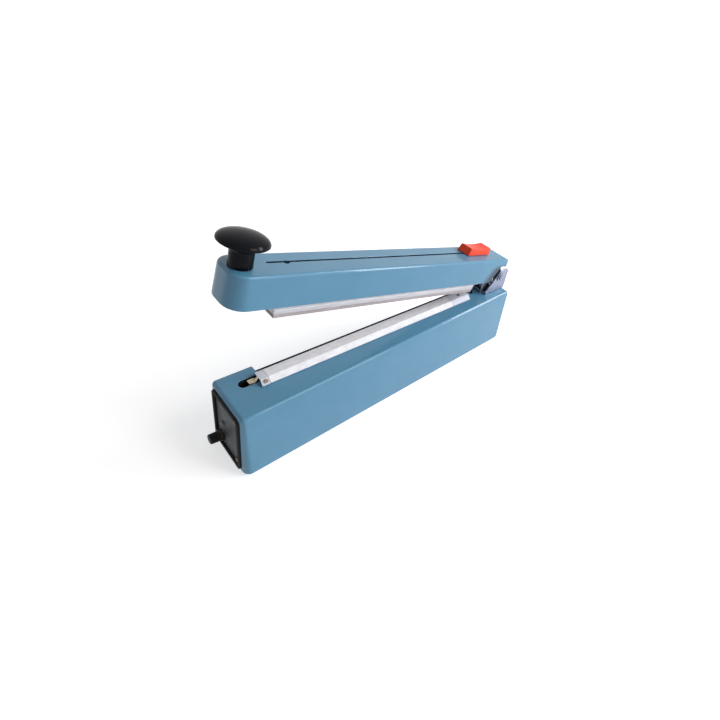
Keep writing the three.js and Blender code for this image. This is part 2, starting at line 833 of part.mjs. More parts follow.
function makeBoard() {
  const face = timerBodyBack + seatGap;
  const y1 = timerOffset + boardWidth / 6;
  const plate = block(face, face + boardThick, y1 - boardWidth, y1, boardBottom,
    boardBottom + boardHeight);
  const back = face + boardThick / 2;
  const relay = block(back, back + relayLength, y1 - boardWidth + relayWidth / 5,
    y1 - boardWidth + relayWidth * 6 / 5,
    boardBottom + relayHeight / 4, boardBottom + relayHeight * 5 / 4);
  const capacitor = endRod(relayWidth / 4, y1 - relayWidth / 2, boardBottom + boardHeight / 3, back,
    back + relayLength * 5 / 4, 18);
  return shaped(plate, [relay, capacitor], []);
}

place(controlEnd, 'panel_gasket', 'rubber', alongExtrusion(
  ringShape(gasketPlan(0), gasketPlan(-gasketWidth)), -gasketProud, recessDepth - seatGap));
place(controlEnd, 'control_panel', 'grey', makePanel());
panelScrewZs.forEach((z, i) => place(controlEnd, `panel_screw_${i + 1}`, 'brass',
  leanedScrew(panelScrewY, z)));
place(controlEnd, 'timer_body', 'matt', makeTimerBody());
place(controlEnd, 'timer_nut', 'brass', makeTimerNut());
place(controlEnd, 'timer_knob', 'matt', makeTimerKnob());
place(controlEnd, 'indicator_lamp', 'lamp', makeLamp());
place(controlEnd, 'circuit_board', 'board', makeBoard());

// Transformer

const coreBottom = coverTop + seatGap;
const coreMiddle = coreBottom + coreHeight / 2;
const coreLeg = coreLength * coreLegShare;
const coreWindow = coreLength / 2 - coreLeg * 2;
const coilWall = coreWindow - coilRoom;

function makeCore() {
  const core = block(transformerX - coreLength / 2, transformerX + coreLength / 2,
    transformerOffset - coreStack / 2, transformerOffset + coreStack / 2, coreBottom,
    coreBottom + coreHeight);
  const windows = [-1, 1].map((side) => {
    const near = transformerX + side * coreLeg;
    const far = near + side * coreWindow;
    return block(Math.min(near, far), Math.max(near, far), transformerOffset - coreStack,
      transformerOffset + coreStack,
      coreBottom + coreLeg, coreBottom + coreHeight - coreLeg);
  });
  return shaped(core, [], windows);
}

function makeCoil() {
  const low = coreBottom + coreLeg + seatGap;
  const high = coreBottom + coreHeight - coreLeg - seatGap;
  const halfX = coreLeg + coilWall + seatGap;
  const halfY = coreStack / 2 + coilWall + seatGap;
  const winding = (grow) => new THREE.Shape(roundedPlan(rectangle(
    transformerX - halfX, transformerX + halfX, transformerOffset - halfY, transformerOffset + halfY),
  evenRadii(coilWall / 2), grow, 3));
  const middle = planExtrusion(winding(-coilFlangeRim), low, high);
  const flanges = [planExtrusion(winding(0), low, low + coilFlange),
    planExtrusion(winding(0), high - coilFlange, high)];
  const hole = block(transformerX - coreLeg - seatGap, transformerX + coreLeg + seatGap,
    transformerOffset - coreStack / 2 - seatGap, transformerOffset + coreStack / 2 + seatGap,
    low - overrun, high + overrun);
  return shaped(middle, flanges, [hole]);
}

function makeStrap() {
  const over = coreBottom + coreHeight + seatGap;
  const side = (sign) => {
    const inner = transformerX + sign * strapHalf;
    const outer = inner + sign * strapThick;
    const toe = outer + sign * strapFoot;
    return { inner, outer, toe };
  };
  const [left, right] = [side(-1), side(1)];
  const profile = flatShape([
    [left.toe, coreBottom], [left.inner, coreBottom], [left.inner, over], [right.inner, over],
    [right.inner, coreBottom], [right.toe, coreBottom], [right.toe, coreBottom + strapThick],
    [right.outer, coreBottom + strapThick], [right.outer, over + strapThick],
    [left.outer, over + strapThick],
    [left.outer, coreBottom + strapThick], [left.toe, coreBottom + strapThick],
  ]);
  const strap = acrossExtrusion(profile, transformerOffset - strapWidth / 2,
    transformerOffset + strapWidth / 2);
  const holes = strapScrewXs.map((x) => uprightRod(
    strapScrewRadius + seatGap, x, transformerOffset, coreBottom - overrun, coreBottom + overrun, 12));
  return shaped(strap, [], holes);
}

place(base, 'transformer_core', 'laminated', makeCore());
place(base, 'transformer_coil', 'copper', makeCoil());
place(base, 'transformer_strap', 'steel', makeStrap());
strapScrewXs.forEach((x, i) => place(base, `strap_screw_${i + 1}`, 'steel', headUpScrew(
  x, transformerOffset, coreBottom + strapThick + seatGap, strapScrewRadius, strapScrewRadius * 2,
  headHeight,
  coverThick + strapThick + seatGap * 3)));

// Sealing bar, its layers and clamps

const barY0 = barOffset - barWidth / 2;
const barY1 = barOffset + barWidth / 2;
const controlClampX1 = sheetX0 - seatGap;
const hingeClampX0 = sheetX1 + seatGap;
const clampBottom = elementTop + foilGap;
const drapeFoot = barBottom + barFoot;
const drapeHalf = barWidth / 2 + foilGap;
const drapeTopHalf = stripWidth / 2 + seatGap;
const drapeRise = clampBottom - drapeFoot;
const drapeRun = drapeHalf - drapeTopHalf;
const barTopHalf = drapeTopHalf + drapeRun * (clampBottom - barTop) / drapeRise - seatGap;

// The section that the sheet and both clamps share: up one flank of the bar, over it and down the other
function drape(thick) {
  const low = barBottom + foilGap;
  const half = [
    [drapeHalf, low], [drapeHalf, drapeFoot], [drapeTopHalf, clampBottom],
  ];
  const outer = [
    [drapeHalf + thick, low], [drapeHalf + thick, drapeFoot + thick / 3],
    [drapeTopHalf + thick / 2, clampBottom + thick],
  ];
  return flatShape([
    ...half.map(([y, z]) => [barOffset - y, z]), ...half.reverse().map(([y, z]) => [barOffset + y, z]),
    ...outer.map(([y, z]) => [barOffset + y, z]), ...outer.reverse().map(([y, z]) => [barOffset - y, z]),
  ]);
}

// A point on a flank of the bar, so far out from the inside of what is draped over it
function onFlank(x, side, out) {
  const length = Math.hypot(drapeRun, drapeRise);
  return new THREE.Vector3(
    x,
    barOffset + side * ((drapeHalf + drapeTopHalf) / 2 + out * drapeRise / length),
    (drapeFoot + clampBottom) / 2 + out * drapeRun / length,
  );
}

function flankHole(x, side, depth) {
  return rod(clampScrewRadius + seatGap, onFlank(x, side, -depth), onFlank(x, side, overrun * 2), 12);
}

function flankScrew(x, side, thick) {
  const seat = thick + foilGap * 2;
  const head = rod(clampScrewHead, onFlank(x, side, seat), onFlank(x, side, seat + clampScrewHeadHeight),
    18);
  const shank = rod(clampScrewRadius, onFlank(x, side, -clampScrewLength),
    onFlank(x, side, seat + foilGap), 12);
  return shaped(head, [shank], []);
}

function makeBar() {
  const profile = flatShape([
    [barY0, barBottom], [barY1, barBottom], [barY1, drapeFoot], [barOffset + barTopHalf, barTop],
    [barOffset - barTopHalf, barTop], [barY0, drapeFoot],
  ]);
  const drop = block(elementDropX - elementWidth / 2, elementDropX + elementWidth / 2,
    elementOffset - elementWidth, elementOffset + elementWidth, barBottom - overrun, barTop + overrun);
  const screwHoles = [
    flankHole(clampScrewX, -1, clampScrewLength + seatGap),
    flankHole(hingeClampScrewX, 1, clampScrewLength + seatGap),
  ];
  const pegs = barPegXs.map((x) => uprightRod(
    barPegRadius, x, barOffset - barPegOffset, barBottom - barPegLength, drapeFoot, 14));
  return shaped(alongExtrusion(profile, barX0, barX1), pegs, [drop, ...screwHoles]);
}

function makeElement() {
  const tailX = terminalX;
  const line = [
    [tailX - terminalLength / 4, baseTop - seatGap], [tailX + terminalLength / 4, baseTop - seatGap],
    [barX0 - seatGap * 2, elementBottom], [elementDropX, elementBottom],
    [elementDropX, topUnder - fixedTerminalSize],
  ];
  return acrossExtrusion(foldedStrip(line, elementThick),
    elementOffset - elementWidth / 2, elementOffset + elementWidth / 2);
}

function makeControlClamp() {
  const body = alongExtrusion(drape(controlClampThick), barX0 - controlClampBeforeBar, controlClampX1);
  return shaped(body, [], [flankHole(clampScrewX, -1, overrun / 2)]);
}

function makeHingeClamp() {
  const body = alongExtrusion(drape(sheetThick), hingeClampX0, barX1);
  const opening = block(elementDropX - hingeClampHole / 2, elementDropX + hingeClampHole / 2,
    barOffset - hingeClampHoleWidth / 2, barOffset + hingeClampHoleWidth / 2, clampBottom - overrun,
    sheetTop + overrun);
  return shaped(body, [], [opening, flankHole(hingeClampScrewX, 1, overrun / 2)]);
}

function makeInsulator() {
  const top = topUnder - seatGap;
  const body = block(insulatorX - insulatorLength / 2, insulatorX + insulatorLength / 2,
    slotOffset - insulatorWidth / 2, slotOffset + insulatorWidth / 2, top - insulatorHeight, top);
  const post = block(terminalX - terminalLength / 2, terminalX, slotOffset - slotWidth / 2 + seatGap,
    terminalOffset - seatGap, top - insulatorHeight / 2, baseTop - topWall / 2);
  const channel = block(insulatorX - insulatorLength, insulatorX + insulatorLength,
    terminalOffset - seatGap, terminalOffset + terminalWidth + seatGap, top - insulatorHeight / 2,
    top + overrun);
  return shaped(body, [post], [channel]);
}

// A bent brass blade: its foot lies in the insulator and its tongue stands up in the slot.
function makeTerminal() {
  const low = topUnder - seatGap - insulatorHeight / 2 + seatGap;
  const x0 = terminalX - terminalLength / 2;
  const x1 = terminalX + terminalLength / 2;
  const top = baseTop - seatGap * 2;
  const profile = flatShape([
    [x0, low], [x1, low], [x1, top], [x0, top], [x0, top - tongueThick],
    [x1 - tongueThick, top - tongueThick], [x1 - tongueThick, low + tongueThick], [x0, low + tongueThick],
  ]);
  return acrossExtrusion(profile, terminalOffset, terminalOffset + terminalWidth);
}

function makeFixedTerminal() {
  const top = topUnder - seatGap;
  const half = fixedTerminalSize / 2;
  const body = block(elementDropX - half, elementDropX + half, elementOffset - half, elementOffset + half,
    top - fixedTerminalSize, top);
  const slit = block(elementDropX - elementThick - seatGap, elementDropX + elementThick + seatGap,
    elementOffset - elementWidth / 2 - seatGap, elementOffset + elementWidth / 2 + seatGap,
    top - fixedTerminalSize * 2, top + overrun);
  return shaped(body, [], [slit]);
}

place(base, 'sealing_bar', 'aluminium', makeBar());
place(base, 'insulating_strip', 'white', block(sheetX0, elementDropX - elementWidth,
  barOffset - stripWidth / 2, barOffset + stripWidth / 2, stripBottom, stripBottom + stripThick));
place(base, 'heating_element', 'copper', makeElement());
place(base, 'nonstick_sheet', 'white', alongExtrusion(drape(sheetThick), sheetX0, sheetX1));
place(base, 'control_end_clamp', 'aluminium', makeControlClamp());
place(base, 'hinge_end_clamp', 'aluminium', makeHingeClamp());
place(base, 'clamp_screw_1', 'brass', flankScrew(clampScrewX, -1, controlClampThick));
place(base, 'clamp_screw_2', 'steel', flankScrew(hingeClampScrewX, 1, sheetThick));
place(base, 'slot_insulator', 'matt', makeInsulator());
place(base, 'element_terminal', 'brass', makeTerminal());
place(base, 'fixed_terminal', 'brass', makeFixedTerminal());

// Hinge bracket, pin, clips and screws

const earInner = earFace - bracketThick;

function makeBracket() {
  const section = flatShape([
    [-earFace, bracketFloor], [earFace, bracketFloor], [earFace, earTop], [earInner, earTop],
    [earInner, bracketTop], [-earInner, bracketTop], [-earInner, earTop], [-earFace, earTop],
  ]);
  const body = alongExtrusion(section, bracketX0, bracketX1);
  const slantTop = bracketX1 - earTopLength;
  const slant = acrossExtrusion(flatShape([
    [bracketX0 - overrun, bracketTop + bracketThick],
    [bracketX0 + bracketThick / 2, bracketTop + bracketThick],
    [slantTop, earTop], [slantTop, earTop + overrun], [bracketX0 - overrun, earTop + overrun],
  ]), -earFace - overrun, earFace + overrun);
  const corner = acrossExtrusion(flatShape([
    [bracketX1 - earCorner, earTop + overrun], [bracketX1 - earCorner, earTop],
    [bracketX1, earTop - earCorner],
    [bracketX1 + overrun, earTop - earCorner], [bracketX1 + overrun, earTop + overrun],
  ]), -earFace - overrun, earFace + overrun);
  const pinHole = acrossRod(pinRadius + pinRunning, pinX, pinZ, -earFace - overrun, earFace + overrun,
    24);
  const screwHoles = bracketScrewXs.map((x) => uprightRod(
    bracketScrewRadius + seatGap, x, 0, bracketFloor - overrun, bracketTop + overrun, 12));
  const post = uprightRod(springPostRadius, springX, 0, bracketFloor + bracketThick / 2,
    bracketTop + springPostHeight, 16);
  return shaped(body, [post], [slant, corner, pinHole, ...screwHoles]);
}

function acrossRod(radius, x, z, y0, y1, sides = 20) {
  return rod(radius, new THREE.Vector3(x, y0, z), new THREE.Vector3(x, y1, z), sides);
}

const clipY0 = earFace + seatGap;
const clipY1 = clipY0 + clipThick;

function makePin() {
  const half = clipY1 + pinTail + seatGap;
  const body = acrossRod(pinRadius, pinX, pinZ, -half, half, 24);
  const grooves = [-1, 1].map((side) => {
    const [y0, y1] = side > 0 ? [clipY0 - foilGap, clipY1 + foilGap] : [-clipY1 - foilGap,
      -clipY0 + foilGap];
    const sleeve = acrossRod(pinRadius * 2, pinX, pinZ, y0, y1, 24);
    return shaped(sleeve, [], [acrossRod(pinRadius - pinGroove, pinX, pinZ, y0 - overrun, y1 + overrun,
      24)]);
  });
  return shaped(body, [], grooves);
}

function makeClip(y0, y1) {
  const disc = acrossRod(clipRadius, pinX, pinZ, y0, y1, 24);
  const bore = acrossRod(pinRadius - pinGroove + foilGap, pinX, pinZ, y0 - overrun, y1 + overrun, 20);
  const mouth = block(pinX - pinGroove * 2, pinX + pinGroove * 2, y0 - overrun, y1 + overrun,
    pinZ - clipRadius * 2, pinZ);
  return shaped(disc, [], [bore, mouth]);
}

place(base, 'hinge_bracket', 'steel', makeBracket());
place(base, 'hinge_pin', 'steel', makePin());
place(base, 'pin_clip_1', 'darkSteel', makeClip(-clipY1, -clipY0));
place(base, 'pin_clip_2', 'darkSteel', makeClip(clipY0, clipY1));
bracketScrewXs.forEach((x, i) => place(base, `bracket_screw_${i + 1}`, 'steel', headUpScrew(
  x, 0, bracketTop + seatGap, bracketScrewRadius, bracketScrewHead, headHeight,
  topWall + bracketThick + overrun)));

// Return spring: it stands on the bracket's floor, and its top meets the arm's underside square,
// so its middle line is an arc that turns by the open angle.
function makeSpring() {
  const bottom = bracketTop + seatGap + springWire;
  const underArm = pinZ - (springX - pinX) * Math.tan(openRadians) + armUnder / Math.cos(openRadians);
  const room = underArm - bottom - springWire - seatGap * 2;
  const rise = room / (1 + Math.tan(openRadians / 2) * Math.tan(openRadians));
  const bendRadius = rise / Math.sin(openRadians);
  const points = [];
  const count = springTurns * springSteps;
  for (let i = 0; i <= count; i += 1) {
    const share = i / count;
    const lean = openRadians * share;
    const angle = 2 * Math.PI * springTurns * share;
    const centre = new THREE.Vector3(
      springX + bendRadius * (1 - Math.cos(lean)), 0, bottom + bendRadius * Math.sin(lean));
    const out = new THREE.Vector3(Math.cos(lean), 0, -Math.sin(lean));
    points.push(centre.addScaledVector(out, springCoil * Math.cos(angle))
      .add(new THREE.Vector3(0, springCoil * Math.sin(angle), 0)));
  }
  let least = Infinity;
  points.forEach((point, i) => {
    for (let j = i + springSteps / 2; j < points.length; j += 1) {
      least = Math.min(least, point.distanceTo(points[j]) - 2 * springWire);
    }
  });
  console.log('least gap between the spring turns:', least.toFixed(2));
  return wire(points, springWire, springSides);
}

place(base, 'return_spring', 'darkSteel', makeSpring());

// Microswitch and plunger

function makeSwitch() {
  const body = block(switchX - switchLength / 2, switchX + switchLength / 2, -switchWidth / 2,
    switchWidth / 2,
    switchBottom, switchBottom + switchHeight);
  const bore = uprightRod(plungerRadius + plungerFlange + seatGap, switchX, 0,
    switchBottom + switchHeight - plungerInside - seatGap, switchBottom + switchHeight - seatGap * 3, 16);
  const mouth = uprightRod(plungerRadius + seatGap, switchX, 0, switchBottom + switchHeight / 2,
    switchBottom + switchHeight + overrun, 16);
  const holes = switchScrewXs.map((x) => acrossRod(
    switchScrewRadius + foilGap, x, switchScrewZ, -switchWidth, switchWidth, 10));
  return shaped(body, [], [bore, mouth, ...holes]);
}

function makePlunger() {
  const bottom = switchBottom + switchHeight - plungerInside + plungerTravel;
  const top = baseTop + plungerRise;
  return turned([
    [0, bottom], [plungerRadius + plungerFlange - seatGap, bottom],
    [plungerRadius + plungerFlange - seatGap, bottom + plungerFlange],
    [plungerRadius, bottom + plungerFlange], [plungerRadius, top - plungerRadius / 2],
    [plungerRadius / 2, top], [0, top],
  ], switchX, 0, 16);
}

function makeSwitchScrew(x) {
  const screw = headUpScrew(0, 0, switchWidth / 2 + foilGap, switchScrewRadius, switchScrewRadius * 2,
    switchScrewRadius, switchWidth + switchRib);
  return screw.rotateX(Math.PI / 2).translate(x, 0, switchScrewZ);
}

const plungerTravel = 1.5;
place(base, 'microswitch', 'matt', makeSwitch());
place(base, 'switch_plunger', 'matt', makePlunger());
switchScrewXs.forEach((x, i) => place(base, `switch_screw_${i + 1}`, 'steel', makeSwitchScrew(x)));

// Cable gland in the hinge end, its mouth closed by a web

function makeGland() {
  const face = hingeX + baseGrow(glandHeight) + seatGap + baseDraft * glandFlange / baseHeight;
  const inside = face - seatGap - baseWall;
  const profile = [
    [0, inside - glandFlangeThick], [glandRadius, inside - glandFlangeThick], [glandRadius, face],
    [glandFlange, face], [glandFlange, face + glandFlangeThick - foilGap * 2],
    [glandFlange - foilGap * 2, face + glandFlangeThick], [glandRadius, face + glandFlangeThick],
    [glandBore + foilGap * 4, face + glandReach], [glandBore, face + glandReach],
    [glandBore, face + glandReach - glandCup], [0, face + glandReach - glandCup],
  ];
  const sleeve = turned(profile, 0, 0, 24);
  return sleeve.rotateY(Math.PI / 2).translate(0, glandOffset, glandHeight);
}

place(base, 'cable_gland', 'rubber', makeGland());

// Arm: everything below is drawn with the arm down, about the hinge pin

const arm = new THREE.Group();
arm.position.set(pinX, 0, pinZ);
arm.rotation.y = openRadians;
base.add(arm);

function armX(fromEnd) {
  return armEndX - fromEnd;
}

const armPlan = [
  new THREE.Vector2(armX(armLength), armOffset - armWidth / 2),
  new THREE.Vector2(armEndX, armOffset - armWidth / 2),
  new THREE.Vector2(armEndX, armOffset + armWidth / 2),
  new THREE.Vector2(armX(armLength), armOffset + armWidth / 2),
];
const armRadii = [armEndRadius, armHingeRadius, armHingeRadius, armEndRadius];
const handleX = armX(armLength - handleFromTip);
const strikerX = switchX - pinX;
const railX0 = barX0 + railFromBarStart - pinX;
const railX1 = barX1 + railPastBar - pinX;
const railFootX1 = railX1 - railNose;
const railTopZ = armTop - railTop;
const railBossXs = railScrewShares.map((share) => THREE.MathUtils.lerp(railX1, railX0, share));
const cutSlotMiddle = cutSlotOffset;

function armGrow(z) {
  return armDraft * (armTop - z) / armDepth;
}

function lugShape() {
  const points = [];
  const arcSteps = 12;
  for (let step = 0; step <= arcSteps; step += 1) {
    const angle = THREE.MathUtils.degToRad(-115 + 200 * step / arcSteps);
    points.push([lugRadius * Math.cos(angle), lugRadius * Math.sin(angle)]);
  }
  points.push([armEndX - armWall / 2, armTop - armEndDepth - seatGap * 3]);
  points.push([armEndX - armWall / 2, armUnder + armTopWall / 2]);
  points.push([-lugRoot, armUnder + armTopWall / 2]);
  points.push([-lugRoot, armUnder - lugRadius]);
  return flatShape(points);
}

function makeArmCover() {
  const low = armTop - armDepth;
  const outer = draftedBlock(armPlan, armRadii, armGrow, low, armTop, armFillet, 6);
  const cavity = draftedBlock(armPlan, armRadii, (z) => armGrow(z) - armWall, low - overrun, armUnder, 0,
    6);
  const slot = planExtrusion(obround(armX(armLength - cutSlotFromTip), armX(cutSlotNear), cutSlotMiddle,
    cutSlotWidth, 3),
    armUnder - overrun, armTop + overrun);
  const eye = uprightRod(cutSlotEyeRadius, armX(armLength - cutSlotEyeFromTip),
    cutSlotMiddle - cutSlotWidth / 3,
    armUnder - overrun, armTop + overrun, 14);
  const notch = acrossExtrusion(flatShape([
    [armX(armNotchLength), low - overrun], [armX(armNotchLength), low],
    [armX(armNotchTopLength), armTop - armNotchTopDepth],
    [armX(armNotchTopLength - armWall), armTop - armEndDepth],
    [armEndX + overrun, armTop - armEndDepth], [armEndX + overrun, low - overrun],
  ]), -armWidth, armWidth);
  const shell = shaped(outer, [], [cavity, slot, eye, notch]);
  const lugs = [-lugOuter, lugOuter - lugThick].map((y) => acrossExtrusion(lugShape(), y, y + lugThick));
  const embed = armUnder + armTopWall / 2;
  const railBosses = railBossXs.map((x) => uprightRod(railBossRadius, x, -railBossOffset,
    railTopZ + seatGap, embed, 16));
  const handleBoss = uprightRod(handleBossRadius, handleX, 0, armUnder - handleBossDepth, embed, 24);
  const strikerBoss = uprightRod(strikerBossRadius, strikerX, 0, armUnder - strikerBossDepth, embed, 16);
  const holes = [
    ...railBossXs.map((x) => uprightRod(
      railScrewRadius + seatGap, x, -railBossOffset, railTopZ - overrun, armUnder - railBossRadius, 12)),
    uprightRod(boltRadius + seatGap, handleX, 0, armUnder - handleBossDepth * 2, armTop + overrun, 18),
    uprightRod(strikerRadius + seatGap, strikerX, 0, armUnder - strikerBossDepth * 2,
      armUnder + armTopWall / 2, 12),
    acrossRod(pinRadius + pinRunning, 0, 0, -lugOuter - overrun, lugOuter + overrun, 24),
  ];
  return shaped(shell, [...lugs, ...railBosses, handleBoss, strikerBoss], holes);
}

function makeRail() {
  const low = railTopZ - railThick;
  const profile = flatShape([
    [-railFront, low], [railBack, low],
    [railBack, railTopZ - railStep], [railBack - railNeck, railTopZ - railStep],
    [railBack - railNeck, railTopZ],
    [-railFront + foilGap * 5, railTopZ], [-railFront + foilGap * 5, railTopZ - railStep],
    [-railFront, railTopZ - railStep - foilGap * 5],
  ]);
  const holes = railBossXs.flatMap((x) => [
    uprightRod(railScrewRadius + seatGap, x, -railBossOffset, low - overrun, railTopZ + overrun, 12),
    uprightRod(railScrewHead + seatGap, x, -railBossOffset, low - overrun,
      low + railScrewSink, 16),
  ]);
  const nose = block(railFootX1, railX1 + overrun, -railFront - overrun, railBack + overrun,
    low - overrun, railTopZ - railStep);
  return shaped(alongExtrusion(profile, railX0, railX1), [], [nose, ...holes]);
}

const siliconeTop = railTopZ - railThick - seatGap;

function handleProfile() {
  const low = armTop + seatGap;
  const points = [[boltRadius + seatGap, low + boltIntoKnob + seatGap], [boltRadius + seatGap, low],
    [stemRadius, low]];
  const rim = armTop + capRim;
  const under = armTop + stemHeight;
  const steps = 5;
  points.push([stemRadius - foilGap, under - overrun / 2]);
  for (let step = 1; step <= steps; step += 1) {
    const angle = (Math.PI / 2) * step / steps;
    points.push([
      THREE.MathUtils.lerp(stemRadius, capRadius, 1 - Math.cos(angle)),
      THREE.MathUtils.lerp(under, rim - overrun / 4, Math.sin(angle)),
    ]);
  }
  for (let step = 1; step <= steps + 1; step += 1) {
    const angle = (Math.PI / 2) * step / (steps + 1);
    points.push([capRadius * Math.cos(angle), THREE.MathUtils.lerp(rim, armTop + capCrown,
      Math.sin(angle))]);
  }
  points[points.length - 1][0] = 0;
  points.push([0, low + boltIntoKnob + seatGap], points[0]);
  return points;
}

function makeBolt() {
  const seat = armUnder - handleBossDepth - seatGap;
  const head = uprightRod(boltHead, handleX, 0, seat - boltHeadHeight, seat, 6);
  const shank = uprightRod(boltRadius, handleX, 0, seat - boltHeadHeight / 2, armTop + boltIntoKnob, 18);
  return shaped(head, [shank], []);
}

function makeStriker() {
  const tip = baseTop + plungerRise + seatGap - pinZ;
  const shank = uprightRod(strikerRadius, strikerX, 0, tip + strikerCapLength / 2, armUnder, 14);
  const cap = turned([
    [0, tip], [strikerCap * 2 / 3, tip], [strikerCap, tip + strikerCap / 3],
    [strikerCap, tip + strikerCapLength], [0, tip + strikerCapLength],
  ], strikerX, 0, 18);
  return shaped(shank, [cap], []);
}

place(arm, 'arm_cover', 'enamel', makeArmCover());
place(arm, 'pressing_rail', 'aluminium', makeRail());
place(arm, 'silicone_strip', 'silicone', block(railX0 + siliconeInset, railFootX1 - siliconeInset,
  -railFront + siliconeInset, railBack - siliconeInset, siliconeTop - siliconeThick, siliconeTop));
railBossXs.forEach((x, i) => place(arm, `rail_screw_${i + 1}`, 'steel', headDownScrew(
  x, -railBossOffset, railTopZ - railThick + railScrewSink - seatGap, railScrewRadius,
  railScrewHead,
  railScrewSink - seatGap, railThick)));
place(arm, 'handle_knob', 'gloss', turned(handleProfile(), handleX, 0, 32));
place(arm, 'handle_bolt', 'steel', makeBolt());
place(arm, 'striker_screw', 'steel', makeStriker());

// Cutter

const sliderX = armX(sliderFromEnd);
const tongueZ1 = armTop + seatGap + tongueIntoSlider;
const shoeTop = armUnder - seatGap;
const webY1 = shoeBack;
const webY0 = webY1 - webThick;
const bladeY1 = webY0 - seatGap;
const bladeY0 = bladeY1 - bladeThick;
const bladeScrewZ = armTop - bladeScrewDepth;

// The red block: a saddle in length, with ends that lean and sides that draw in
function makeSlider() {
  const low = armTop + seatGap;
  const steps = 8;
  const top = [];
  for (let step = 0; step <= steps; step += 1) {
    const share = step / steps;
    const dip = sliderDip * Math.sin(Math.PI * share);
    top.push([sliderX + sliderLength / 2 - (sliderLength - sliderLean) * share + sliderLean / 2,
      low + sliderHeight - dip]);
  }
  const profile = flatShape([[sliderX - sliderLength / 2, low], [sliderX + sliderLength / 2, low],
    ...top]);
  const half = sliderWidth / 2;
  const body = acrossExtrusion(profile, sliderOffset - half, sliderOffset + half);
  const sides = [-1, 1].map((side) => {
    const edge = sliderOffset + side * half;
    const outside = edge + side * overrun;
    const inside = edge - side * sliderTaper;
    const wedge = [[edge, low - seatGap], [outside, low - overrun],
      [outside, low + sliderHeight + overrun],
      [inside, low + sliderHeight + seatGap]];
    return alongExtrusion(flatShape(side > 0 ? wedge : wedge.reverse()), sliderX - sliderLength,
      sliderX + sliderLength);
  });
  const pocket = block(sliderX - tongueLength / 2 - seatGap, sliderX + tongueLength / 2 + seatGap,
    cutSlotMiddle - tongueWidth / 2 - foilGap, cutSlotMiddle + tongueWidth / 2 + foilGap,
    low - overrun, tongueZ1 + seatGap);
  return shaped(body, [], [...sides, pocket]);
}

function makeShoe() {
  const slab = block(sliderX - shoeLength / 2, sliderX + shoeLength / 2, -shoeFront, shoeBack,
    shoeTop - shoeThick, shoeTop);
  const tongue = block(sliderX - tongueLength / 2, sliderX + tongueLength / 2,
    cutSlotMiddle - tongueWidth / 2, cutSlotMiddle + tongueWidth / 2, shoeTop - shoeThick / 2, tongueZ1);
  const web = acrossExtrusion(flatShape([
    [sliderX - webLength / 2, armTop - webDepth + webLength / 4],
    [sliderX - webLength / 4, armTop - webDepth],
    [sliderX + webLength / 4, armTop - webDepth],
    [sliderX + webLength / 2, armTop - webDepth + webLength / 4],
    [sliderX + webLength / 2, shoeTop - shoeThick / 2],
    [sliderX - webLength / 2, shoeTop - shoeThick / 2],
  ]), webY0, webY1);
  const hole = acrossRod(bladeScrewRadius + foilGap, sliderX, bladeScrewZ, webY0 - overrun,
    webY1 + overrun, 12);
  return shaped(slab, [tongue, web], [hole]);
}

function makeBlade() {
  const top = armTop - bladeTop;
  const tip = armTop - bladeTip;
  const profile = flatShape([
    [sliderX - bladeLength / 2, top], [sliderX - bladeLength / 2, tip + bladeLength],
    [sliderX, tip], [sliderX + bladeLength / 2, tip + bladeLength], [sliderX + bladeLength / 2, top],
  ].reverse());
  const plate = acrossExtrusion(profile, bladeY0, bladeY1);
  const hole = acrossRod(bladeScrewRadius + foilGap, sliderX, bladeScrewZ, bladeY0 - overrun,
    bladeY1 + overrun, 12);
  return shaped(plate, [], [hole]);
}

function makeBladeScrew() {
  const screw = headUpScrew(0, 0, -bladeY0 + foilGap, bladeScrewRadius, bladeScrewHead, bladeScrewRadius,
    bladeThick + webThick + foilGap);
  return screw.rotateX(Math.PI / 2).translate(sliderX, 0, bladeScrewZ);
}

place(arm, 'cutter_slider', 'red', makeSlider());
place(arm, 'cutter_shoe', 'matt', makeShoe());
place(arm, 'cutter_blade', 'steel', makeBlade());
place(arm, 'blade_screw', 'steel', makeBladeScrew());

// The origin is the middle of the whole part's footprint, on the surface that it stands on.
machine.updateMatrixWorld(true);
const extent = new THREE.Box3().setFromObject(machine, true);
machine.position.x = -(extent.min.x + extent.max.x) / 2;
machine.position.y = -(extent.min.y + extent.max.y) / 2;
machine.position.z = -extent.min.z;
machine.updateMatrixWorld(true);

export default machine;
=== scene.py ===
"""Hand-pressed impulse sealer with a cutter in its arm, dressed over the CAD frame."""
import json
import math

import bpy
from mathutils import Matrix, Vector


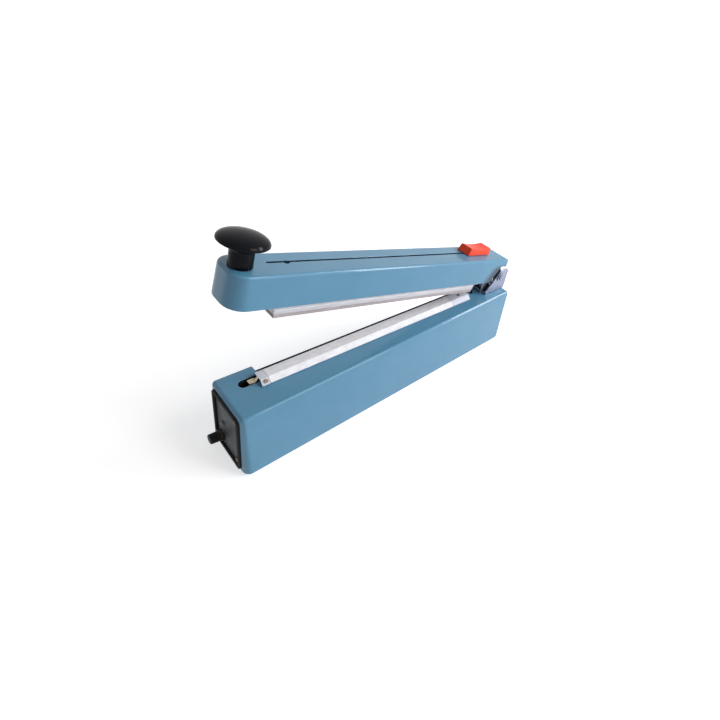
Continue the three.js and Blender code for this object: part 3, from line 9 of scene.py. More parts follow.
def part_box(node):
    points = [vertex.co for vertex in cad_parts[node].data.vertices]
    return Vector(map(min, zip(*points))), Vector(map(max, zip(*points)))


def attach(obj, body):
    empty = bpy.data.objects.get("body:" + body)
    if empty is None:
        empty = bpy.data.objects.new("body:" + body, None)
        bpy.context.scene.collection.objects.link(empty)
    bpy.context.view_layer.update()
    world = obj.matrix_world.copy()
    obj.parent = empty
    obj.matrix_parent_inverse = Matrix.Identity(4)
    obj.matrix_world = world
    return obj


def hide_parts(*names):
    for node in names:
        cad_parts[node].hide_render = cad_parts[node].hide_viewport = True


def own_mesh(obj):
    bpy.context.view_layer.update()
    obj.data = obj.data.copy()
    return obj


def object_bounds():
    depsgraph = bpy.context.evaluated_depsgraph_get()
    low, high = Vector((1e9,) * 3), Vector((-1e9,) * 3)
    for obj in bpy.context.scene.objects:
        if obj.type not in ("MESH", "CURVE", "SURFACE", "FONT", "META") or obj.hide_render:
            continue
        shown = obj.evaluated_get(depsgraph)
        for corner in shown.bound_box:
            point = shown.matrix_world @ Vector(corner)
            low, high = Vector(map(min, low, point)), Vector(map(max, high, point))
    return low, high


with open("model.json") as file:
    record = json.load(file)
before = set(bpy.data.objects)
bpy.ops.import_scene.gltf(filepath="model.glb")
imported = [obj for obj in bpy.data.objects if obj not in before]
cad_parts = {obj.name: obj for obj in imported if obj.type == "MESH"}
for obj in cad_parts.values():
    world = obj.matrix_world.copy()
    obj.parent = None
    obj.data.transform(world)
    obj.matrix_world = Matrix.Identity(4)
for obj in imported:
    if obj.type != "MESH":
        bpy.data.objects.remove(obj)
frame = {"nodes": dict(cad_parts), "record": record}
cad_low, cad_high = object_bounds()

# Places. Sizes are in millimetres: x runs from the control end, y from the arm's middle line,
# and z from the housing's lower edge, as on a workshop drawing of the base.
MM = 0.001
HOUSING_LENGTH = 320
HOUSING_HEIGHT = 61.5
HOUSING_DRAFT = 3
FRONT_AT_CONTROL = 32.8
FRONT_AT_HINGE = 20.3
BACK_REACH = 18.5
OPEN_DEGREES = 12.8
PIN_X = 307.5
PIN_Z = 78.3
BRACKET_FLOOR = 64.1
TIMER_Y = 5
TIMER_Z = 12
LAMP_Y = 0.5
LAMP_Z = 30
# The cover, on the arm's own drawing, whose zero is the pin
ARM_TOP = 22.9
ARM_HEIGHT = 24.5
ARM_UNDERSIDE = 20.4
ARM_HINGE_END = -5
ARM_HANDLE_END = -306.5
ARM_MIDDLE_Y = 1.2
ARM_HALF_WIDTH = 16.7
ARM_DRAFT = 1.4

housing_low, housing_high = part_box("base_housing")
DRAWING_ZERO = Vector((
    housing_low.x + HOUSING_DRAFT * MM,
    housing_high.y - (BACK_REACH + HOUSING_DRAFT) * MM,
    housing_low.z,
))
BASE_PLACE = Matrix.Translation(DRAWING_ZERO) @ Matrix.Scale(MM, 4)
ARM_PLACE = (
    BASE_PLACE
    @ Matrix.Translation((PIN_X, 0, PIN_Z))
    @ Matrix.Rotation(math.radians(OPEN_DEGREES), 4, "Y")
)
PANEL_PLACE = (
    BASE_PLACE
    @ Matrix.Translation((-HOUSING_DRAFT, 0, 0))
    @ Matrix.Rotation(math.atan2(HOUSING_DRAFT, HOUSING_HEIGHT), 4, "Y")
)
# Turns a piece drawn upright to stand out of the control end
OUTWARD = Matrix.Rotation(math.radians(-90), 4, "Y")


def at(x, y, z):
    """A point of the base drawing, in metres in the row frame."""
    return BASE_PLACE @ Vector((x, y, z))


# Hand tools

SHARP_DEGREES = 32


def put_down():
    """Nothing stays selected, so that the next operator meets only its own piece."""
    bpy.ops.object.select_all(action="DESELECT")


def take(piece):
    put_down()
    piece.select_set(True)
    bpy.context.view_layer.objects.active = piece


def settle(piece):
    """Puts a piece's place, turn and size into its mesh."""
    take(piece)
    bpy.ops.object.transform_apply(location=True, rotation=True, scale=True)
    return piece


def block(name, low, high):
    put_down()
    middle = [(a + b) / 2 for a, b in zip(low, high)]
    size = [b - a for a, b in zip(low, high)]
    bpy.ops.mesh.primitive_cube_add(size=1, location=middle)
    piece = bpy.context.object
    piece.name = name
    piece.scale = size
    return settle(piece)


def drum(name, middle, radius, length, sides):
    put_down()
    bpy.ops.mesh.primitive_cylinder_add(vertices=sides, radius=radius, depth=length, location=middle)
    piece = bpy.context.object
    piece.name = name
    return settle(piece)


def turned_up(name, rings, sides):
    """A lathe piece on the upright axis, drawn up from ring to ring, each given by height and radius."""
    foot, first = rings[0]
    height, radius = rings[1][0], first
    piece = drum(name, (0, 0, (foot + height) / 2), first, height - foot, sides)
    pick_faces(piece, lambda centre, normal: normal.z > 0.9)
    for level, wide in rings[1:]:
        if level != height or radius != first:
            bpy.ops.mesh.extrude_region_move(TRANSFORM_OT_translate={"value": (0, 0, level - height)})
        bpy.ops.transform.resize(value=(wide / radius, wide / radius, 1))
        height, radius = level, wide
    close_edit()
    return piece


def copy_of(piece, name):
    copy = piece.copy()
    copy.data = piece.data.copy()
    copy.name = name
    bpy.context.scene.collection.objects.link(copy)
    return copy


def open_edit(piece, kind):
    take(piece)
    bpy.ops.object.mode_set(mode="EDIT")
    bpy.ops.mesh.select_mode(type=kind)
    bpy.ops.mesh.select_all(action="DESELECT")
    bpy.ops.object.mode_set(mode="OBJECT")


def pick_edges(piece, wanted):
    """Enters edit mode with the edges selected whose two ends pass the test."""
    open_edit(piece, "EDGE")
    corners = piece.data.vertices
    for edge in piece.data.edges:
        edge.select = wanted(corners[edge.vertices[0]].co, corners[edge.vertices[1]].co)
    bpy.ops.object.mode_set(mode="EDIT")


def pick_faces(piece, wanted):
    """Enters edit mode with the faces selected whose centre and normal pass the test."""
    open_edit(piece, "FACE")
    for face in piece.data.polygons:
        face.select = wanted(face.center, face.normal)
    bpy.ops.object.mode_set(mode="EDIT")


def pick_all(piece):
    open_edit(piece, "VERT")
    bpy.ops.object.mode_set(mode="EDIT")
    bpy.ops.mesh.select_all(action="SELECT")


def close_edit():
    bpy.ops.object.mode_set(mode="OBJECT")


def apply_modifier(piece, modifier):
    take(piece)
    bpy.ops.object.modifier_apply(modifier=modifier.name)


def break_edges(piece, width, steps, degrees=SHARP_DEGREES):
    """Takes the knife edge off every sharp corner."""
    bevel = piece.modifiers.new("broken_edges", "BEVEL")
    bevel.width = width
    bevel.segments = steps
    bevel.limit_method = "ANGLE"
    bevel.angle_limit = math.radians(degrees)
    bevel.use_clamp_overlap = False
    apply_modifier(piece, bevel)


def scrap(piece):
    bpy.data.objects.remove(piece, do_unlink=True)


def combine(piece, other, operation):
    """Uses the second piece up on the first."""
    joint = piece.modifiers.new("joint", "BOOLEAN")
    joint.operation = operation
    joint.solver = "EXACT"
    joint.object = other
    apply_modifier(piece, joint)
    scrap(other)


def cut_away(piece, cutter):
    combine(piece, cutter, "DIFFERENCE")


def join_on(piece, other):
    combine(piece, other, "UNION")


def seat(piece, place):
    """Moves a piece from its drawing to where it belongs on the sealer."""
    piece.data.transform(place)
    piece.data.update()


def smooth(piece, degrees=SHARP_DEGREES):
    take(piece)
    bpy.ops.object.shade_smooth_by_angle(angle=math.radians(degrees))
    weights = piece.modifiers.new("face_weights", "WEIGHTED_NORMAL")
    weights.keep_sharp = True
    weights.weight = 60
    apply_modifier(piece, weights)


def fit(piece, body, finish):
    piece.data.materials.clear()
    piece.data.materials.append(finish)
    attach(piece, body)


def stand_in(piece, node):
    """Fits a piece in the place of a node, on its body and with its finish."""
    fit(piece, body_of(node), finish_of(node))
    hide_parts(node)


def install(piece, node, place, degrees=35):
    """Moves a piece from its drawing into the place of a node."""
    seat(piece, place)
    smooth(piece, degrees)
    stand_in(piece, node)


def line_with(piece, finish, place, wanted):
    """Gives a second finish to the faces whose centre and normal, on the drawing, pass the test."""
    piece.data.materials.append(finish)
    back = place.inverted()
    turn = back.to_3x3().normalized()
    for face in piece.data.polygons:
        if wanted(back @ face.center, turn @ face.normal):
            face.material_index = 1


def body_of(node):
    bodies = frame["record"]["behaviour"]["bodies"]
    return next(name for name, nodes in bodies.items() if node in nodes)


def slot_of(node):
    return next(part["material_slot"] for part in frame["record"]["subparts"] if part["node"] == node)


def finish_of(node):
    return FINISHES[NODE_FINISH.get(node, slot_of(node))]


# A fair copy is made the first of these ways whose faces stay true: whether its facets are joined up,
# whether some edges are broken wider, and whether edges are broken at all.
FAIR_WAYS = (
    (True, True, True),
    (False, True, True),
    (True, False, True),
    (False, False, True),
    (False, False, False),
)
FACE_SLACK = 1.5e-6  # square metres
SAME_CORNER = 2e-6  # metres
FLAT_DEGREES = 0.6


def merged(node, facets_joined):
    """A copy of a node of the frame with its corners welded and, if wanted, its flat facets joined."""
    copy = bpy.data.objects.new(f"{node}_fair", frame["nodes"][node].data.copy())
    bpy.context.scene.collection.objects.link(copy)
    pick_all(copy)
    bpy.ops.mesh.remove_doubles(threshold=SAME_CORNER)
    if facets_joined:
        bpy.ops.mesh.dissolve_limited(angle_limit=math.radians(FLAT_DEGREES))
    close_edit()
    return copy


def fills_true(piece):
    """Whether the triangles of each many-sided face cover just that face."""
    piece.data.calc_loop_triangles()
    covered = [0.0] * len(piece.data.polygons)
    for triangle in piece.data.loop_triangles:
        covered[triangle.polygon_index] += triangle.area
    faces = zip(covered, piece.data.polygons)
    return all(abs(area - face.area) < FACE_SLACK for area, face in faces)


def break_by_width(piece, width, steps, wide_edges, wide):
    """Breaks every sharp edge by one width, and the edges that pass a test by a larger one."""
    facing = {}
    for face in piece.data.polygons:
        for key in face.edge_keys:
            facing.setdefault(key, []).append(face.normal)
    weights = piece.data.attributes.new("bevel_weight_edge", "FLOAT", "EDGE")
    corners = piece.data.vertices
    for edge in piece.data.edges:
        sides = facing[edge.key]
        if len(sides) == 2 and sides[0].angle(sides[1], 0) > math.radians(SHARP_DEGREES):
            widened = wide_edges(corners[edge.vertices[0]].co, corners[edge.vertices[1]].co)
            weights.data[edge.index].value = 1 if widened else width / wide
    bevel = piece.modifiers.new("broken_edges", "BEVEL")
    bevel.width = wide * MM
    bevel.segments = steps
    bevel.limit_method = "WEIGHT"
    bevel.use_clamp_overlap = False
    apply_modifier(piece, bevel)


def fair(node, width, steps, wide_edges=None, wide=None):
    """A fair copy of a machined or cast node, its edges broken and its curves smooth."""
    for facets_joined, widened, broken in FAIR_WAYS:
        if widened and not wide_edges:
            continue
        copy = merged(node, facets_joined)
        if widened:
            break_by_width(copy, width, steps, wide_edges, wide)
        elif width and broken:
            break_edges(copy, width * MM, steps)
        if fills_true(copy):
            break
        if broken:
            scrap(copy)
    smooth(copy)
    stand_in(copy, node)
    return copy


# Finishes


def paint(red, green, blue):
    """A colour given on the 0 to 255 scale of a paint chart."""
    def straight(value):
        share = value / 255
        return share / 12.92 if share <= 0.04045 else ((share + 0.055) / 1.055) ** 2.4
    return (straight(red), straight(green), straight(blue), 1)


def set_inputs(node, **values):
    """Sets a shader node's inputs by name, with underscores for spaces."""
    for label, value in values.items():
        node.inputs[label.replace("_", " ")].default_value = value


class Bench:
    """Lays nodes out and joins them while an effect or a material is built."""

    def __init__(self, tree):
        self.tree = tree
        self.column = 0

    def add(self, kind, **values):
        node = self.tree.nodes.new(kind)
        node.location = (self.column * 190, 0)
        self.column += 1
        for name, value in values.items():
            setattr(node, name, value)
        return node

    def join(self, source, target):
        self.tree.links.new(source, target)

    def feed(self, value, socket):
        """Sets a socket to a constant, or joins it to what puts its value out."""
        if isinstance(value, (int, float, tuple)):
            socket.default_value = value
        else:
            self.join(value, socket)

    def sums(self, operation, first, second=None, third=None, clamp=False):
        node = self.add("ShaderNodeMath", operation=operation, use_clamp=clamp)
        for socket, value in zip(node.inputs, (first, second, third)):
            if value is not None:
                self.feed(value, socket)
        return node.outputs[0]

    def spread(self, value, low, high, out_low=0.0, out_high=1.0):
        node = self.add("ShaderNodeMapRange", clamp=True)
        self.join(value, node.inputs["Value"])
        set_inputs(node, From_Min=low, From_Max=high, To_Min=out_low, To_Max=out_high)
        return node.outputs["Result"]

    def noise(self, vector, scale, detail, roughness):
        node = self.add("ShaderNodeTexNoise")
        set_inputs(node, Detail=detail, Roughness=roughness)
        self.join(vector, node.inputs["Vector"])
        self.join(scale, node.inputs["Scale"])
        return node.outputs["Fac"]

    def give(self, **results):
        """Joins what an effect has worked out to its group's output, and hands the group over."""
        end = self.add("NodeGroupOutput")
        for name, value in results.items():
            self.join(value, end.inputs[name])
        return self.tree

    def place(self):
        return self.add("ShaderNodeTexCoord").outputs["Object"]

    def stretched_place(self, x, y, z):
        """The place with each of its parts multiplied, to draw a pattern out along one way."""
        factors = self.add("ShaderNodeCombineXYZ")
        for name, value in (("X", x), ("Y", y), ("Z", z)):
            self.feed(value, factors.inputs[name])
        drawn = self.add("ShaderNodeVectorMath", operation="MULTIPLY")
        self.join(self.place(), drawn.inputs[0])
        self.join(factors.outputs[0], drawn.inputs[1])
        return drawn.outputs["Vector"]


def cleared_bench(owner):
    """The bench of a world or a material, with no node left on it."""
    owner.use_nodes = True
    owner.node_tree.nodes.clear()
    return Bench(owner.node_tree)


def new_effect(name, inputs, outputs):
    """The bench of a node group with these sockets, and what its inputs put out."""
    tree = bpy.data.node_groups.new(name, "ShaderNodeTree")
    for label, default, low, high in inputs:
        socket = tree.interface.new_socket(label, in_out="INPUT", socket_type="NodeSocketFloat")
        socket.default_value = default
        socket.min_value = low
        socket.max_value = high
    for label in outputs:
        tree.interface.new_socket(label, in_out="OUTPUT", socket_type="NodeSocketFloat")
    bench = Bench(tree)
    return bench, bench.add("NodeGroupInput").outputs


def make_orange_peel():
    """The skin of sprayed enamel: fine waves with a broad, faint change of tone."""
    bench, start = new_effect(
        "orange_peel",
        [("Waves per metre", 900, 1, 9000), ("Tone patches per metre", 30, 1, 900)],
        ["Height", "Tone"],
    )
    place = bench.place()
    waves = bench.noise(place, start["Waves per metre"], 2, 0.45)
    patches = bench.noise(place, start["Tone patches per metre"], 4, 0.6)
    return bench.give(Height=waves, Tone=bench.spread(patches, 0.3, 0.7))


def make_edge_rub():
    """Edges, where hands and bags rub and where the enamel gets a painted highlight: the bent normal near an
    edge parts from the true one.
    """
    bench, start = new_effect(
        "edge_wear_and_highlight_mask",
        [("Width", 0.0008, 0, 0.01), ("Breakup per metre", 350, 1, 9000), ("Amount", 1, 0, 4)],
        ["Mask"],
    )
    rounded = bench.add("ShaderNodeBevel", samples=4)
    bench.join(start["Width"], rounded.inputs["Radius"])
    true = bench.add("ShaderNodeNewGeometry").outputs["Normal"]
    meet = bench.add("ShaderNodeVectorMath", operation="DOT_PRODUCT")
    bench.join(rounded.outputs["Normal"], meet.inputs[0])
    bench.join(true, meet.inputs[1])
    parted = bench.sums("SUBTRACT", 1.0, meet.outputs["Value"])
    broken = bench.noise(bench.place(), start["Breakup per metre"], 3, 0.6)
    mask = bench.sums("MULTIPLY", bench.spread(parted, 0.01, 0.22), bench.spread(broken, 0.35, 0.65))
    return bench.give(Mask=bench.sums("MULTIPLY", mask, start["Amount"], clamp=True))


def make_handling():
    """Smears and fingerprints, as a change of roughness only."""
    bench, start = new_effect(
        "handling",
        [("Smears per metre", 60, 1, 2000), ("Stretch", 3, 1, 30)],
        ["Smear"],
    )
    drawn = bench.stretched_place(1, start["Stretch"], start["Stretch"])
    smears = bench.noise(drawn, start["Smears per metre"], 5, 0.65)
    return bench.give(Smear=bench.spread(smears, 0.35, 0.68))


def make_mill_lines():
    """The long lines that drawing or extruding leaves along a metal section."""
    bench, start = new_effect(
        "mill_lines",
        [("Lines per metre", 2600, 1, 20000), ("Run", 0.012, 0, 1)],
        ["Height", "Streak"],
    )
    drawn = bench.stretched_place(start["Run"], 1, 1)
    lines = bench.noise(drawn, start["Lines per metre"], 2, 0.6)
    broad_scale = bench.sums("MULTIPLY", start["Lines per metre"], 0.2)
    broad = bench.noise(drawn, broad_scale, 3, 0.6)
    return bench.give(Height=lines, Streak=bench.spread(broad, 0.3, 0.7))


def make_dust():
    """What faces up: workshop dust settles there, and the enamel gets a painted shade of its top faces
    there.
    """
    bench, start = new_effect(
        "settled_dust_and_top_shade",
        [("Patches per metre", 140, 1, 3000), ("Amount", 0.2, 0, 1)],
        ["Mask"],
    )
    facing = bench.add("ShaderNodeSeparateXYZ")
    bench.join(bench.add("ShaderNodeNewGeometry").outputs["Normal"], facing.inputs[0])
    up = bench.spread(facing.outputs["Z"], 0.55, 1.0)
    clouds = bench.noise(bench.place(), start["Patches per metre"], 6, 0.7)
    patches = bench.spread(clouds, 0.42, 0.72)
    mask = bench.sums("MULTIPLY", up, patches)
    return bench.give(Mask=bench.sums("MULTIPLY", mask, start["Amount"], clamp=True))


def make_glass_weave():
    """The square weave of coated glass cloth, seen through its own resin."""
    bench, start = new_effect(
        "glass_weave",
        [("Threads per metre", 1500, 1, 9000)],
        ["Height", "Thread"],
    )
    place = bench.add("ShaderNodeSeparateXYZ")
    bench.join(bench.place(), place.inputs[0])
    turns = bench.sums("MULTIPLY", start["Threads per metre"], math.pi)

    def ridges(axis):
        wave = bench.sums("SINE", bench.sums("MULTIPLY", place.outputs[axis], turns))
        return bench.sums("ABSOLUTE", wave)

    height = bench.sums("MULTIPLY", ridges("X"), ridges("Y"))
    return bench.give(Height=height, Thread=bench.spread(height, 0.0, 0.5))


EFFECTS = {
    "peel": make_orange_peel(),
    "edge_wear_and_highlight": make_edge_rub(),
    "handling": make_handling(),
    "mill": make_mill_lines(),
    "dust_and_top_shade": make_dust(),
    "weave": make_glass_weave(),
}


class Finish:
    """A surface finish: a Principled shader fed by the shared effects."""

    def __init__(self, name, colour, roughness, metallic=0.0, coat=0.0, coat_roughness=0.1):
        self.material = bpy.data.materials.new(name)
        self.bench = cleared_bench(self.material)
        self.shader = self.bench.add("ShaderNodeBsdfPrincipled")
        set_inputs(self.shader, Metallic=metallic, Coat_Weight=coat, Coat_Roughness=coat_roughness)
        self.material.diffuse_color = colour
        self.colour = colour
        self.roughness = roughness

    def effect(self, name, **values):
        node = self.bench.add("ShaderNodeGroup", node_tree=EFFECTS[name])
        set_inputs(node, **values)
        return node.outputs

    def tint(self, mask, colour, strength):
        mix = self.bench.add("ShaderNodeMix", data_type="RGBA")
        share = self.bench.sums("MULTIPLY", mask, strength, clamp=True)
        self.bench.join(share, mix.inputs["Factor"])
        self.bench.feed(self.colour, mix.inputs["A"])
        set_inputs(mix, B=colour)
        self.colour = mix.outputs["Result"]

    def rougher(self, mask, amount):
        self.roughness = self.bench.sums("MULTIPLY_ADD", mask, amount, self.roughness, clamp=True)

    def raised(self, height, distance, strength):
        bump = self.bench.add("ShaderNodeBump")
        set_inputs(bump, Distance=distance, Strength=strength)
        self.bench.join(height, bump.inputs["Height"])
        self.bench.join(bump.outputs["Normal"], self.shader.inputs["Normal"])

    def done(self):
        self.bench.feed(self.colour, self.shader.inputs["Base Color"])
        self.bench.feed(self.roughness, self.shader.inputs["Roughness"])
        out = self.bench.add("ShaderNodeOutputMaterial")
        self.bench.join(self.shader.outputs[0], out.inputs["Surface"])
        return self.material


def deeper(shade, share):
    """A darker tone of a colour."""
    return paint(*[value * share for value in shade])


def blue_enamel(name, hinge_shaded=False):
    made = Finish(name, paint(86, 140, 172), 0.36, coat=0.45, coat_roughness=0.06)
    set_inputs(made.shader, Specular_IOR_Level=0.2)
    peel = made.effect("peel", Waves_per_metre=260, Tone_patches_per_metre=28)
    made.tint(peel["Tone"], paint(74, 131, 162), 0.6)
    # Painted highlight: a pale blue along the edges stands in for light caught on the fillets, together with
    # edge wear.
    edge_wear_and_highlight = made.effect("edge_wear_and_highlight", Width=0.0011, Breakup_per_metre=240, Amount=0.55)
    made.tint(edge_wear_and_highlight["Mask"], paint(160, 192, 214), 0.5)
    # Painted shade: a greyer, less blue tone on what faces up stands in for how the light falls on the top
    # faces, together with settled dust.
    dust_and_top_shade = made.effect("dust_and_top_shade", Patches_per_metre=90, Amount=0.12)
    made.tint(dust_and_top_shade["Mask"], paint(104, 130, 134), 0.7)
    if hinge_shaded:
        # Painted shade: dark navy on the arm's side beside the hinge, where shade falls.
        made.tint(hinge_grime(made, dust_and_top_shade["Mask"]), paint(14, 34, 58), 0.9)
    smear = made.effect("handling", Smears_per_metre=40, Stretch=2)
    made.rougher(smear["Smear"], 0.1)
    made.raised(peel["Height"], 0.00003, 0.3)
    return made.done()


def hinge_grime(made, patches):
    """Painted shade: dark navy over the arm's side near the slanted edge beside the hinge, where shade
    falls, made uneven by the patches.
    """
    bench = made.bench
    place = bench.place()
    edge_foot, off_edge = (-26, 0, -1.6), (-0.82, 0, 0.573)
    past_edge = along(bench, place, edge_foot, off_edge)
    above_pin = along(bench, place, (0, 0, 0), (0, 0, 1))
    near = bench.spread(past_edge, 12 * MM, 4 * MM)
    under_top = bench.spread(above_pin, 18 * MM, 13 * MM)
    # The patches make the painted shade uneven.
    worn = bench.spread(patches, 0, 1, 1, 0.6)
    return bench.sums("MULTIPLY", bench.sums("MULTIPLY", near, under_top), worn)


def along(bench, place, zero, way):
    """How far a point lies from a zero point on the arm drawing, along a direction of that drawing."""
    start = ARM_PLACE @ Vector(zero)
    direction = ARM_PLACE.to_3x3().normalized() @ Vector(way)
    from_start = bench.add("ShaderNodeVectorMath", operation="SUBTRACT")
    bench.join(place, from_start.inputs[0])
    from_start.inputs[1].default_value = start
    length = bench.add("ShaderNodeVectorMath", operation="DOT_PRODUCT")
    bench.join(from_start.outputs["Vector"], length.inputs[0])
    length.inputs[1].default_value = direction
    return length.outputs["Value"]


def drawn_aluminium(name, shade, roughness, lines=2600, metallic=0.85):
    made = Finish(name, paint(*shade), roughness, metallic=metallic)
    mill = made.effect("mill", Lines_per_metre=lines, Run=0.012)
    made.tint(mill["Streak"], deeper(shade, 0.86), 0.6)
    smear = made.effect("handling", Smears_per_metre=70, Stretch=2)
    made.rougher(smear["Smear"], 0.14)
    made.raised(mill["Height"], 0.00005, 0.4)
    return made.done()


def plated_steel(name, shade, roughness):
    made = Finish(name, paint(*shade), roughness, metallic=0.9)
    peel = made.effect("peel", Waves_per_metre=1800, Tone_patches_per_metre=160)
    made.tint(peel["Tone"], deeper(shade, 0.82), 0.6)
    edge_wear_and_highlight = made.effect("edge_wear_and_highlight", Width=0.0005, Breakup_per_metre=500, Amount=1)
    made.tint(edge_wear_and_highlight["Mask"], paint(236, 236, 240), 0.6)
    smear = made.effect("handling", Smears_per_metre=110, Stretch=1)
    made.rougher(smear["Smear"], 0.16)
    made.raised(peel["Height"], 0.00004, 0.5)
    return made.done()


def moulded(name, shade, roughness, worn, coat=0.0, grain=2200, depth=0.00005, dusty=0.15, shine=0.5):
    """Plastic, rubber or print: its tone, the tone where it is worn, its grain, its dust and its shine."""
    made = Finish(name, paint(*shade), roughness, coat=coat)
    set_inputs(made.shader, Specular_IOR_Level=shine)
    peel = made.effect("peel", Waves_per_metre=grain, Tone_patches_per_metre=70)
    made.tint(peel["Tone"], deeper(shade, 0.86), 0.6)
    edge_wear_and_highlight = made.effect("edge_wear_and_highlight", Width=0.0006, Breakup_per_metre=420, Amount=0.8)
    made.tint(edge_wear_and_highlight["Mask"], paint(*worn), 0.45)
    dust_and_top_shade = made.effect("dust_and_top_shade", Patches_per_metre=160, Amount=dusty)
    made.tint(dust_and_top_shade["Mask"], paint(150, 150, 148), 0.6)
    smear = made.effect("handling", Smears_per_metre=90, Stretch=1)
    made.rougher(smear["Smear"], 0.12)
    made.raised(peel["Height"], depth, 0.5)
    return made.done()


def coated_cloth():
    made = Finish("coated_glass_cloth", paint(238, 239, 244), 0.42)
    weave = made.effect("weave", Threads_per_metre=1400)
    made.tint(weave["Thread"], paint(246, 246, 250), 0.7)
    smear = made.effect("handling", Smears_per_metre=120, Stretch=2)
    made.tint(smear["Smear"], paint(190, 184, 184), 0.35)
    made.rougher(smear["Smear"], 0.15)
    made.raised(weave["Height"], 0.00006, 0.6)
    return made.done()


def laminated_core():
    made = Finish("varnished_core_plates", paint(86, 82, 78), 0.5, metallic=0.6)
    mill = made.effect("mill", Lines_per_metre=1800, Run=1.0)
    made.tint(mill["Streak"], paint(48, 44, 42), 0.8)
    made.raised(mill["Height"], 0.0002, 0.7)
    return made.done()


FINISHES = {
    "enamel": blue_enamel("blue_enamel"),
    "arm_enamel": blue_enamel("blue_enamel_of_the_arm", hinge_shaded=True),
    "steel": plated_steel("zinc_plated_steel", (150, 158, 180), 0.36),
    "darkSteel": plated_steel("blackened_steel", (52, 52, 54), 0.42),
    "brass": plated_steel("dull_brass", (118, 98, 72), 0.42),
    "gloss": moulded("polished_knob_resin", (7, 9, 18), 0.13, (20, 20, 34), coat=0.05, grain=300,
                     depth=0.00001, dusty=0.01, shine=0.07),
    "matt": moulded("black_switch_plastic", (10, 10, 11), 0.36, (46, 46, 48), dusty=0.03, shine=0.15),
    "rubber": moulded("black_rubber", (20, 21, 23), 0.7, (60, 60, 62), grain=3200, depth=0.00008,
                      shine=0.25),
    "red": moulded("red_slider_plastic", (255, 72, 38), 0.34, (255, 140, 110), grain=900, depth=0.00003,
                   dusty=0.03, shine=0.3),
    "grey": moulded("grey_panel_paint", (58, 68, 71), 0.42, (130, 134, 138), grain=1400, depth=0.00004,
                    shine=0.25),
    "white": moulded("white_insulator", (226, 226, 220), 0.5, (240, 240, 238), grain=1800),
    "silicone": moulded("pale_silicone", (178, 168, 170), 0.6, (198, 188, 188), grain=1500),
    "lamp": moulded("lamp_lens", (104, 70, 116), 0.18, (150, 120, 160), coat=0.5, grain=700),
    "board": moulded("green_board", (46, 94, 66), 0.5, (90, 130, 104)),
    "laminated": laminated_core(),
    "copper": drawn_aluminium("enamelled_winding", (168, 96, 58), 0.35, lines=1800),
    "cloth": coated_cloth(),
    "nut": plated_steel("bronzed_nut", (74, 58, 46), 0.38),
    "rail": drawn_aluminium("bright_rail", (200, 200, 206), 0.42, metallic=0.4),
    "bar": drawn_aluminium("satin_bar", (232, 232, 240), 0.46, metallic=0.2),
    "ticks": moulded("dial_print", (176, 176, 184), 0.5, (190, 190, 194)),
    "ring": moulded("dial_band_print", (40, 30, 52), 0.5, (60, 52, 70), shine=0.2),
    # Unpainted inside of the castings, its dark navy also painted shade inside the cavities and the slot.
    "bare": moulded("bare_casting", (24, 38, 52), 0.75, (46, 56, 64), grain=900, depth=0.0002, shine=0.2),
    # Painted shade: a dark steel for the bracket's inner faces, standing in for the shade between its ears.
    "shaded_bracket_inside": plated_steel("steel_in_painted_shade", (34, 34, 38), 0.5),
    "tinned": plated_steel("tinned_brass", (196, 184, 158), 0.36),
    "clamp": drawn_aluminium("pale_clamp", (218, 220, 232), 0.62, metallic=0.1),
}
# Nodes whose finish isn't named after their slot
NODE_FINISH = {
    "arm_cover": "arm_enamel",
    "control_end_clamp": "clamp",
    "element_terminal": "tinned",
    "heating_element": "tinned",
    "hinge_end_clamp": "clamp",
    "nonstick_sheet": "cloth",
    "pin_clip_1": "steel",
    "pin_clip_2": "steel",
    "pressing_rail": "rail",
    "sealing_bar": "bar",
    "timer_nut": "nut",
}

for node_name, node_object in frame["nodes"].items():
    for held in node_object.material_slots:
        held.material = finish_of(node_name)

# Pieces

# Fair copies of what shows: node, width of the broken edge in millimetres, and its steps
FAIRED = [
    ("cutter_slider", 0.5, 3), ("pressing_rail", 0.25, 2), ("silicone_strip", 0.4, 2),
    ("sealing_bar", 0.2, 2), ("nonstick_sheet", 0.15, 2), ("control_end_clamp", 0.15, 2),
    ("hinge_end_clamp", 0.15, 2), ("hinge_pin", 0.3, 2), ("pin_clip_1", 0.15, 2),
    ("pin_clip_2", 0.15, 2), ("panel_gasket", 0.5, 3), ("control_panel", 0.25, 2),
    ("timer_nut", 0.3, 2), ("cutter_shoe", 0.4, 2), ("striker_screw", 0.25, 2),
    ("switch_plunger", 0.2, 2), ("element_terminal", 0.15, 1), ("slot_insulator", 0.2, 1),
    ("bottom_cover", 0.3, 2), ("handle_bolt", 0.4, 2), ("cutter_blade", 0, 0),
    ("blade_screw", 0.2, 2),
]
for node_name, width, steps in FAIRED:
    fair(node_name, width, steps)


def make_castings():
    housing = fair("base_housing", 0.45, 3, wide_edges=foot_edge, wide=1.3)
    # The housing's insides take a dark navy: bare casting with painted shade in its cavity and openings.
    line_with(housing, FINISHES["bare"], BASE_PLACE, housing_inside)
    cover = fair("arm_cover", 0.4, 3, wide_edges=notch_edge, wide=1.9)
    # Painted shade inside the cover and its cutter slot, as on the housing.
    line_with(cover, FINISHES["bare"], ARM_PLACE, cover_inside)
    bracket = fair("hinge_bracket", 0.3, 2)
    # Painted shade on the floor and inner faces of the bracket.
    line_with(bracket, FINISHES["shaded_bracket_inside"], BASE_PLACE, bracket_inside)


def inside(point, spans):
    """Whether a point lies in a box, given as its span along each axis."""
    return all(low < value < high for value, (low, high) in zip(point, spans))


